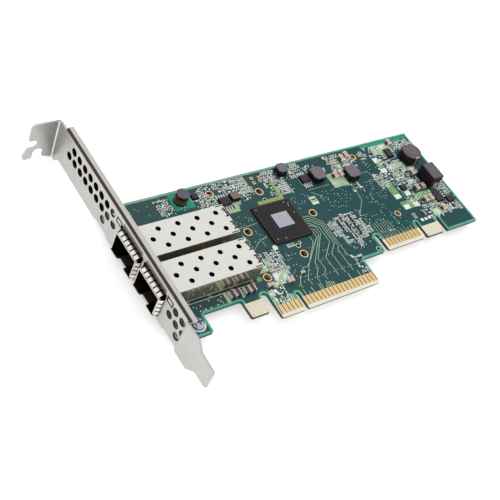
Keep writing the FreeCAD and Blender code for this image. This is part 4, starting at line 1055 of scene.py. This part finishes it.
def grid(field, step_x, step_y):
    """Points of a rectangle on a pitch, column by column."""
    left, low, right, high = field
    return [(left + step_x * i, low + step_y * j) for i in range(int((right - left) / step_x) + 1)
            for j in range(int((high - low) / step_y) + 1)]


def small_parts():
    """Chip parts on their pads; returns the places that are taken once they stand."""
    chance = random.Random(11)
    boards = {look: bmesh.new() for look in PART_PIECES}
    placed = list(taken)

    def put(centre, size, along, look):
        length, width = size[0], size[1]
        rectangle = around(centre, (length, width) if along == "x" else (width, length))
        if is_free(rectangle, PART_ROOM, placed):
            placed.append(rectangle)
            chip_part(boards, centre, size, along, look)

    for centre, size, along, look in SINGLE_PARTS:
        put(centre, size, along, look)
    for centre in CLUSTER_DOTS:
        spot = around(centre, (DOT_W, DOT_W))
        placed.append(spot)
        brick(boards["dark"], spot, SKIN * 2, DOT_W / 2)
        for x in (spot[0] + DOT_PADS[0], spot[2] + DOT_PADS[1]):
            patch(boards["pad"], (x, spot[1], x + DOT_PAD, spot[3]), SKIN, SKIN)
    for field, along in CLUSTER_BLOCKS:
        steps = CLUSTER_STEP if along == "x" else CLUSTER_STEP[::-1]
        for x, y in grid(field, *steps):
            centre = tuple(place + chance.uniform(-jitter, jitter)
                           for place, jitter in zip((x, y), CLUSTER_JITTER))
            if chance.random() < CLUSTER_SHARE:
                put(centre, CLUSTER_PART, along, body_look(chance, CLUSTER_SHARES))
    for field, size, step_x, step_y, along, share, shares in PART_FIELDS:
        for centre in grid(field, step_x, step_y):
            if chance.random() < share:
                put(centre, size, along, body_look(chance, shares))
    for look, (name, slot) in PART_PIECES.items():
        if look != "pad":
            ease(boards[look], EASE)
        make(name, boards[look], look)
    return placed


# ---------------------------------------------------------------- solder lands between the parts
# Plan rectangle and number of small lands tried in it.
LAND_FIELDS = (
    ((-5.8, 13.2, 2.4, 28.6), 240), ((-10.6, 6.2, -3.0, 13.4), 60), ((-11.0, 57.6, 12.2, 67.6), 420),
    ((19.6, 53.4, 31.0, 67.4), 260), ((-15.0, 56.6, -8.2, 63.6), 70), ((-33.0, 58.0, -26.4, 66.8), 60),
    ((81.0, 44.0, 100.6, 66.0), 360), ((84.0, 30.6, 99.0, 44.0), 120), ((88.0, 20.6, 99.0, 30.6), 90),
    ((99.0, 21.0, 109.0, 25.2), 40), ((33.6, 60.4, 42.0, 67.2), 70),
    ((56.6, 57.4, 71.0, 67.0), 130), ((75.0, 42.6, 81.0, 51.0), 50), ((100.6, 60.8, 109.0, 66.0), 60),
    ((102.4, 29.6, 109.4, 38.0), 50), ((59.4, 43.4, 66.0, 51.0), 12), ((35.0, 6.8, 38.6, 16.0), 14),
)
# Grid of the lands, range of their length and width, room between them, and looks with the upper
# end of each one's share.
LAND_STEP = 0.6
LAND_LENGTH = (0.4, 1.7)
LAND_WIDTH = (0.35, 0.9)
LAND_ROOM = 0.1
LAND_LOOKS = (("pad", 0.5), ("pour_pale", 0.8), ("print", 1.0))

# Square test lands: middles, side, side of the dark middle, side of the room round them.
TEST_LANDS = ((15.6, 65.4), (19.4, 65.0), (15.4, 62.9), (18.8, 63.1))
TEST_W = 1.5
TEST_MIDDLE = 0.8
TEST_ROOM = 1.9


def small_lands(placed):
    """Bare and covered lands, larger than vias, that fill the crowded parts of the board."""
    chance = random.Random(31)
    boards = {look: bmesh.new() for look, share in LAND_LOOKS}
    busy = placed + [around(centre, (TEST_ROOM, TEST_ROOM)) for centre in TEST_LANDS]
    for (left, low, right, high), count in LAND_FIELDS:
        for i in range(count):
            size = (chance.uniform(*LAND_LENGTH), chance.uniform(*LAND_WIDTH))
            size = size if chance.random() < 0.5 else size[::-1]
            x = left + LAND_STEP * int(chance.uniform(0, right - left) / LAND_STEP)
            y = low + LAND_STEP * int(chance.uniform(0, high - low) / LAND_STEP)
            spot = around((x, y), size)
            draw = chance.random()
            look = next(look for look, share in LAND_LOOKS if draw <= share)
            if is_free(spot, LAND_ROOM, busy):
                busy.append(spot)
                patch(boards[look], spot, SKIN * 1.5, SKIN)
    for look, bm in boards.items():
        make("small_lands_" + look, bm, look)


def lead_lands():
    """Solder land under every lead of the chips, reaching past its foot."""
    patches("lead_lands", [widened(spot, LEAD_MARGIN) for spot in LEAD_SPOTS], "pad", "solder", 0)


def test_lands():
    """Four square gold lands with dark middles near the board's upper edge."""
    for name, side, look, slot, z in (("test_lands", TEST_W, "rim", "gold_front", SKIN * 2),
                                      ("test_land_middles", TEST_MIDDLE, "dark", "chip_epoxy", SKIN * 3)):
        patches(name, [around(centre, (side, side)) for centre in TEST_LANDS], look, slot, z)


# ---------------------------------------------------------------- white print
# Where short printed bars lie between the parts, and how many.
BAR_FIELDS = (
    ((-44.0, 13.6, -30.0, 17.0), 14), ((-6.0, 18.0, 6.0, 29.0), 34), ((37.6, 19.0, 55.0, 36.0), 60),
    ((-14.0, 55.0, 12.0, 67.6), 70), ((20.0, 53.0, 31.0, 67.6), 40), ((33.0, 60.0, 42.0, 67.0), 24),
    ((57.0, 57.0, 71.0, 67.0), 40), ((74.0, 43.0, 81.0, 51.0), 22), ((84.0, 44.0, 97.0, 66.0), 90),
    ((84.0, 20.0, 98.0, 44.0), 60), ((98.0, 20.0, 109.0, 36.0), 50), ((-34.0, 58.0, -14.0, 67.0), 30),
    ((100.0, 60.0, 109.0, 66.0), 20), ((35.0, 7.0, 38.4, 16.0), 10), ((62.0, 20.4, 66.0, 21.6), 5),
)
BAR_W = 0.3
BAR_REACH = (0.4, 0.9)
BAR_ROOM = 0.1
# Width of the outlines round chips and their gap to the chip; width and gap of the side strokes
# and the share of small parts that have one.
OUTLINE_W = 0.15
OUTLINE_GAP = 0.5
STROKE_W = 0.13
STROKE_GAP = 0.28
STROKE_SHARE = 0.4
# Pin-one dot (place, radius) and the line below the cages (path, width).
PIN_DOT = ((4.3, 30.0), 1.25)
CAGE_LINE = (((-46.5, 17.8), (-14.0, 17.8)), 0.2)


def frame_print(bm, rectangle, width):
    """Thin printed rectangle, drawn as four closed strips."""
    left, low, right, high = rectangle
    for a, b in (((left, low), (right, low)), ((left, high), (right, high)),
                 ((left, low + width), (left, high - width)), ((right, low + width), (right, high - width))):
        ribbon(bm, (a, b), width, SKIN, SKIN)


def white_print(placed):
    """Pin-one dot, cage line, outlines round the chips, strokes beside small parts and short bars."""
    chance = random.Random(23)
    bm = bmesh.new()
    disc(bm, *PIN_DOT, SKIN, SKIN, 20)
    ribbon(bm, *CAGE_LINE, SKIN, SKIN)
    for name in ("leaded_chips", "flat_chips", "grey_choke"):
        for island in islands_mm(name):
            frame_print(bm, widened(island[:4], OUTLINE_GAP), OUTLINE_W)
    for left, low, right, high in placed[len(taken):]:
        if chance.random() < STROKE_SHARE:
            beyond = chance.choice((False, True))
            if right - left > high - low:
                y = high + STROKE_GAP if beyond else low - STROKE_GAP
                ribbon(bm, ((left, y), (right, y)), STROKE_W, SKIN, SKIN)
            else:
                x = right + STROKE_GAP if beyond else left - STROKE_GAP
                ribbon(bm, ((x, low), (x, high)), STROKE_W, SKIN, SKIN)
    for (left, low, right, high), count in BAR_FIELDS:
        for i in range(count):
            place = chance.uniform(left, right), chance.uniform(low, high)
            reach = chance.uniform(*BAR_REACH)
            size = (BAR_W, reach) if chance.random() < 0.5 else (reach, BAR_W)
            spot = around(place, size)
            if is_free(spot, BAR_ROOM, placed):
                patch(bm, spot, SKIN, SKIN)
    make("white_print", bm, "print")


# ---------------------------------------------------------------- controller
# Fringe of the underfill on its wide and narrow sides, how far it climbs, and its gap to the die.
FRINGE = 0.9
FRINGE_RIGHT = 0.36
FRINGE_TOP = 0.27
FRINGE_BELOW = 0.25
FRINGE_GAP = 0.06
# Covered dots of the package, from its middle, and their side.
PACKAGE_DOTS = ((-8.2, 8.2), (8.2, 7.4), (7.6, 6.2), (-7.6, -8.0), (8.0, 2.2), (6.6, 8.4), (-3.6, -8.4))
PACKAGE_DOT = 0.4


def controller_dressing():
    """Underfill fringe round the die and a few dots on the package."""
    low, high = node_mm("controller_die")
    left, right = low.x - FRINGE, high.x + FRINGE_RIGHT
    front, back = low.y - FRINGE, high.y + FRINGE_TOP
    bm = bmesh.new()
    base = [bm.verts.new((x, y, low.z))
            for x, y in ((left, front), (right, front), (right, back), (left, back))]
    for vert in grow(bm, [bm.faces.new(base)], (0, 0, 0)):
        vert.co.x = low.x - FRINGE_GAP if vert.co.x < CORE[0] else high.x + FRINGE_GAP
        vert.co.y = low.y - FRINGE_GAP if vert.co.y < CORE[1] else high.y + FRINGE_GAP
        vert.co.z = high.z - FRINGE_BELOW
    make("die_underfill", bm, "underfill")
    dots = [around((CORE[0] + x, CORE[1] + y), (PACKAGE_DOT, PACKAGE_DOT)) for x, y in PACKAGE_DOTS]
    patches("package_dots", dots, "via", "gold_front", package_high.z)


# ---------------------------------------------------------------- details of larger parts
# Screws: points round a ring, shank, its tip's radius and length, cross recess (half width of an arm,
# reach, radius at the bottom, depth), the dome as (share of the head's radius, height above the board)
# and its upper edge as (share of the head's radius, depth below the top).
SCREW_STEPS = 48
SHANK_R = 1.5
SHANK_TIP = (1.2, 0.3)
CROSS_ARM = 0.28
CROSS_REACH = 1.35
CROSS_FLOOR = 0.8
CROSS_DEPTH = 1.1
DOME = ((1, 0.0), (1, 0.35), (0.93, 0.95), (0.76, 1.5))
DOME_EDGE = (0.58, 0.12)
# Winding: number of turns, points of a wire's section, points round the core, and the height of a
# section against its width, which keeps the turns apart.
TURNS = 5
WIRE_SIDES = 8
WIRE_STEPS = 28
WIRE_SQUEEZE = 0.98
# Strokes on the chokes. Their unit is a share of the choke's width, and shift in x and y, length and
# width are counted in units.
MARK_SHARE = 0.16
MARKS = ((-1, 1, 0.9), (0.6, 1, 0.9), (0, -0.6, 1.6))
MARK_W = 0.35
# Latch plates: distance in from the mouth, size, height above the board, thickness.
LATCH = (3.4, (4.0, 4.8), 0.42, 0.1)
# Slots of a cage's roof: their ends from its middle line, inset from its rear edge, arm length, width.
CAGE_SLOTS = ((4.75, 1.25), (-1.85, -5.15))
SLOT_INSET = 0.42
SLOT_ARM = 1.1
SLOT_W = 0.6
# Printed outlines on the bracket: its face's x, half height, half width and line width, and their middles.
PANEL_X = -58.3
PANEL_MARK = (2.0, 1.35, 0.6)
PANEL_SPOTS = ((53.05, 11.7), (15.05, 11.8))


def cross_radius(angle):
    """Outline of a plus-shaped recess seen from its centre, for a ring of radius 1."""
    across = max(abs(math.cos(angle)), abs(math.sin(angle)))
    narrow = min(abs(math.cos(angle)), abs(math.sin(angle)))
    if narrow * CROSS_REACH / across <= CROSS_ARM:
        return CROSS_REACH / across
    return CROSS_ARM / narrow


def screw_heads():
    """Domed cross-recess screws whose shanks run down through the bracket's ears."""
    bm = bmesh.new()
    foot = node_mm("bracket_screws")[0].z
    for left, low, right, high, top in islands_mm("bracket_screws"):
        x, y = middle_of((left, low, right, high))
        head = (right - left) / 2
        rings = [(SHANK_TIP[0], foot, False), (SHANK_R, foot + SHANK_TIP[1], False), (SHANK_R, 0.0, False)]
        rings += [(head * share, z, False) for share, z in DOME]
        rings += [(head * DOME_EDGE[0], top - DOME_EDGE[1], False), (1.0, top, True),
                  (CROSS_FLOOR, top - CROSS_DEPTH, True)]
        previous = None
        for radius, z, crossed in rings:
            ring = bmesh.ops.create_circle(bm, cap_ends=False, radius=1.0, segments=SCREW_STEPS)["verts"]
            for vert in ring:
                angle = math.atan2(vert.co.y, vert.co.x)
                span = radius * cross_radius(angle) if crossed else radius
                vert.co = Vector((x + span * math.cos(angle), y + span * math.sin(angle), z))
            loop = list({edge for vert in ring for edge in vert.link_edges})
            if previous:
                bmesh.ops.bridge_loops(bm, edges=previous + loop)
            previous = loop
        bmesh.ops.holes_fill(bm, edges=[edge for edge in bm.edges if edge.is_boundary], sides=0)
    make("screw_heads", bm, "screw", stands_for=("bracket_screws",))


def wound_wire():
    """Turns of the drum choke's winding."""
    low, high = node_mm("drum_winding")
    centre = middle_of((low.x, low.y, high.x, high.y))
    outer = (high.x - low.x) / 2
    wire = (high.z - low.z) / TURNS / 2
    bm = bmesh.new()
    for i in range(TURNS):
        z = low.z + wire * (2 * i + 1)
        angles = [2 * math.pi * k / WIRE_SIDES for k in range(WIRE_SIDES)]
        section = [(outer - wire + wire * math.cos(a), z + wire * WIRE_SQUEEZE * math.sin(a)) for a in angles]
        turned(bm, centre, section, WIRE_STEPS)
    piece = make("wound_wire", bm, "copper")
    piece.data.polygons.foreach_set("use_smooth", [True] * len(piece.data.polygons))


def moulded_marks():
    """Short raised strokes on the tops of the power chokes."""
    bm = bmesh.new()
    for name in ("power_chokes", "round_choke", "tall_choke"):
        for left, low, right, high, top in islands_mm(name):
            x, y = middle_of((left, low, right, high))
            unit = (right - left) * MARK_SHARE
            for shift_x, shift_y, length in MARKS:
                middle = (x + unit * shift_x, y + unit * shift_y)
                patch(bm, around(middle, (unit * length, unit * MARK_W)), top, SKIN)
    make("moulded_marks", bm, "mark")


def port_depth():
    """Latch plate recessed in the lower lip of each port's mouth, coloured dark brown as painted shade inside
    the mouth.
    """
    bm = bmesh.new()
    inset, size, z, thickness = LATCH
    for name, middle in zip(CAGES, CAGE_MIDDLES):
        patch(bm, around((node_mm(name)[0].x + inset, middle), size), z, thickness)
    make("latch_plates", bm, "flap")


def cage_slots():
    """Black bracket-shaped strips along the rear edge of each cage's roof that stand for its slots; the black
    is painted shade seen through them.
    """
    bm = bmesh.new()
    for name, middle in zip(CAGES, CAGE_MIDDLES):
        high = node_mm(name)[1]
        rear = high.x - SLOT_INSET
        for start, end in CAGE_SLOTS:
            ribbon(bm, ((rear - SLOT_ARM, middle + start), (rear, middle + start), (rear, middle + end),
                        (rear - SLOT_ARM, middle + end)), SLOT_W, high.z, SKIN)
    make("cage_slots", bm, "black")


def panel_print():
    """Two printed outlines on the bracket's face beside the ports, each of four closed strips."""
    bm = bmesh.new()
    half_y, half_z, line = PANEL_MARK
    strips = ((-half_y, -half_z, half_y, line - half_z), (-half_y, half_z - line, half_y, half_z),
              (-half_y, line - half_z, line - half_y, half_z - line),
              (half_y - line, line - half_z, half_y, half_z - line))
    for y, z in PANEL_SPOTS:
        for low_y, low_z, high_y, high_z in strips:
            corners = ((low_y, low_z), (high_y, low_z), (high_y, high_z), (low_y, high_z))
            face = bm.faces.new([bm.verts.new((PANEL_X, y + a, z + b)) for a, b in corners])
            grow(bm, [face], (-SKIN, 0, 0))
    make("panel_print", bm, "ink")


board_border("board_border", "border_deep", BORDER_W, SKIN / 2)
board_border("board_rim", "border", RIM_W, SKIN)
copper_fields()
traces()
contact_stubs()
vias()
hole_plating()
placed_parts = small_parts()
small_lands(placed_parts)
lead_lands()
test_lands()
white_print(placed_parts)
controller_dressing()
screw_heads()
wound_wire()
moulded_marks()
port_depth()
cage_slots()
panel_print()


# ---------------------------------------------------------------- stage
# Strength of the sky that lights the card, and of the floor's own glow.
SKY = 0.42
GLOW = 0.55
# The floor: half its side in metres, gap below the bracket, and the two plan rectangles of the card
# under which it doesn't glow, with their soft edges.
FLOOR_HALF = 1.5
FLOOR_GAP = 0.2
UNDER_BOARD = (board_low.x + 3, 25, board_high.x - 3, board_high.y - 2)
UNDER_EDGE = (board_low.x + 3, 16, 49, 30)
UNDER_SOFT = 2
# Lamps, in metres: place, point aimed at, size, power.
LAMPS = {
    "key": ((0.20, 0.30, 0.90), (0.02, 0.04, 0), (1.6, 1.6), 6.9),
    "fill": ((-0.7, -0.3, 0.5), (-0.02, 0.04, 0), (0.8, 0.8), 1.6),
}
# Camera: place, directions of its view and of its right side, sensor width and focal length.
CAMERA_PLACE = (-219.376, -122.573, 272.36)
CAMERA_FORWARD = (0.561, 0.409, -0.719)
CAMERA_RIGHT = (0.791, -0.522, 0.320)
SENSOR = 36.0
LENS = 68.97


def aim(thing, place, target):
    """Puts a thing at a place, looking at the target."""
    thing.location = place
    thing.rotation_euler = (Vector(target) - Vector(place)).to_track_quat("-Z", "Y").to_euler()


def lamp(name, place, target, size, power):
    """An area lamp that reflections don't show."""
    data = bpy.data.lights.new(name, "AREA")
    data.shape = "RECTANGLE"
    data.size, data.size_y = size
    data.energy = power
    thing = bpy.data.objects.new(name, data)
    bpy.context.scene.collection.objects.link(thing)
    thing.visible_glossy = False
    aim(thing, place, target)


def seen_directly(tree):
    """1 for camera rays and for rays reflected or let through."""
    path = tree.nodes.new("ShaderNodeLightPath")
    value = path.outputs["Is Camera Ray"]
    for kind in ("Is Glossy Ray", "Is Transmission Ray"):
        larger = tree.nodes.new("ShaderNodeMath")
        larger.operation = "MAXIMUM"
        tree.links.new(value, larger.inputs[0])
        tree.links.new(path.outputs[kind], larger.inputs[1])
        value = larger.outputs[0]
    return value


def studio_world():
    """White surroundings for the eye and for reflections, a dimmer sky for plain lighting."""
    world = bpy.data.worlds.new("studio")
    world.use_nodes = True
    tree = world.node_tree
    tree.nodes.clear()
    output = tree.nodes.new("ShaderNodeOutputWorld")
    mix = tree.nodes.new("ShaderNodeMixShader")
    tree.links.new(seen_directly(tree), mix.inputs["Fac"])
    for strength, socket in ((SKY, mix.inputs[1]), (1.0, mix.inputs[2])):
        white = tree.nodes.new("ShaderNodeBackground")
        white.inputs["Color"].default_value = (1, 1, 1, 1)
        white.inputs["Strength"].default_value = strength
        tree.links.new(white.outputs[0], socket)
    tree.links.new(mix.outputs[0], output.inputs["Surface"])
    bpy.context.scene.world = world


def over(paper, rectangle):
    """1 where the floor lies under a plan rectangle."""
    left, low, right, high = rectangle
    return paper.all_of(paper.within(paper.x, left, right, UNDER_SOFT),
                        paper.within(paper.y, low, high, UNDER_SOFT))


def studio_floor(height):
    """White paper that takes the card's shadow; it doesn't glow beneath the card itself."""
    bm = bmesh.new()
    bmesh.ops.create_grid(bm, x_segments=1, y_segments=1, size=FLOOR_HALF)
    bmesh.ops.translate(bm, verts=bm.verts, vec=(0, 0, height))
    mesh = bpy.data.meshes.new("floor")
    bm.to_mesh(mesh)
    bm.free()
    floor = bpy.data.objects.new("floor", mesh)
    bpy.context.scene.collection.objects.link(floor)
    paper = Shader("floor_white", (0.8, 0.8, 0.8, 1), 0.9, specular=0.0)
    open_paper = paper.math("SUBTRACT", 1.0, paper.any_of(over(paper, UNDER_BOARD), over(paper, UNDER_EDGE)))
    glow = paper.all_of(seen_directly(paper.tree), open_paper, GLOW)
    paper.surface.inputs["Emission Color"].default_value = (1, 1, 1, 1)
    paper.link(glow, paper.surface.inputs["Emission Strength"])
    floor.data.materials.append(paper.material)


def camera():
    """Looks down on the card from beyond its bracket and below its edge connector."""
    data = bpy.data.cameras.new("camera")
    data.sensor_width = SENSOR
    data.lens = LENS
    data.clip_start = 0.01
    thing = bpy.data.objects.new("camera", data)
    bpy.context.scene.collection.objects.link(thing)
    right = Vector(CAMERA_RIGHT).normalized()
    back = -Vector(CAMERA_FORWARD).normalized()
    up = back.cross(right)
    turn = Matrix((right, up, back)).transposed().to_4x4()
    thing.matrix_world = Matrix.Translation(Vector(CAMERA_PLACE) * MM) @ turn
    bpy.context.scene.camera = thing


studio_world()
studio_floor((BRACKET_LOW - FLOOR_GAP) * MM)
for lamp_name, setting in LAMPS.items():
    lamp(lamp_name, *setting)
camera()
bpy.context.scene.view_settings.view_transform = "Standard"
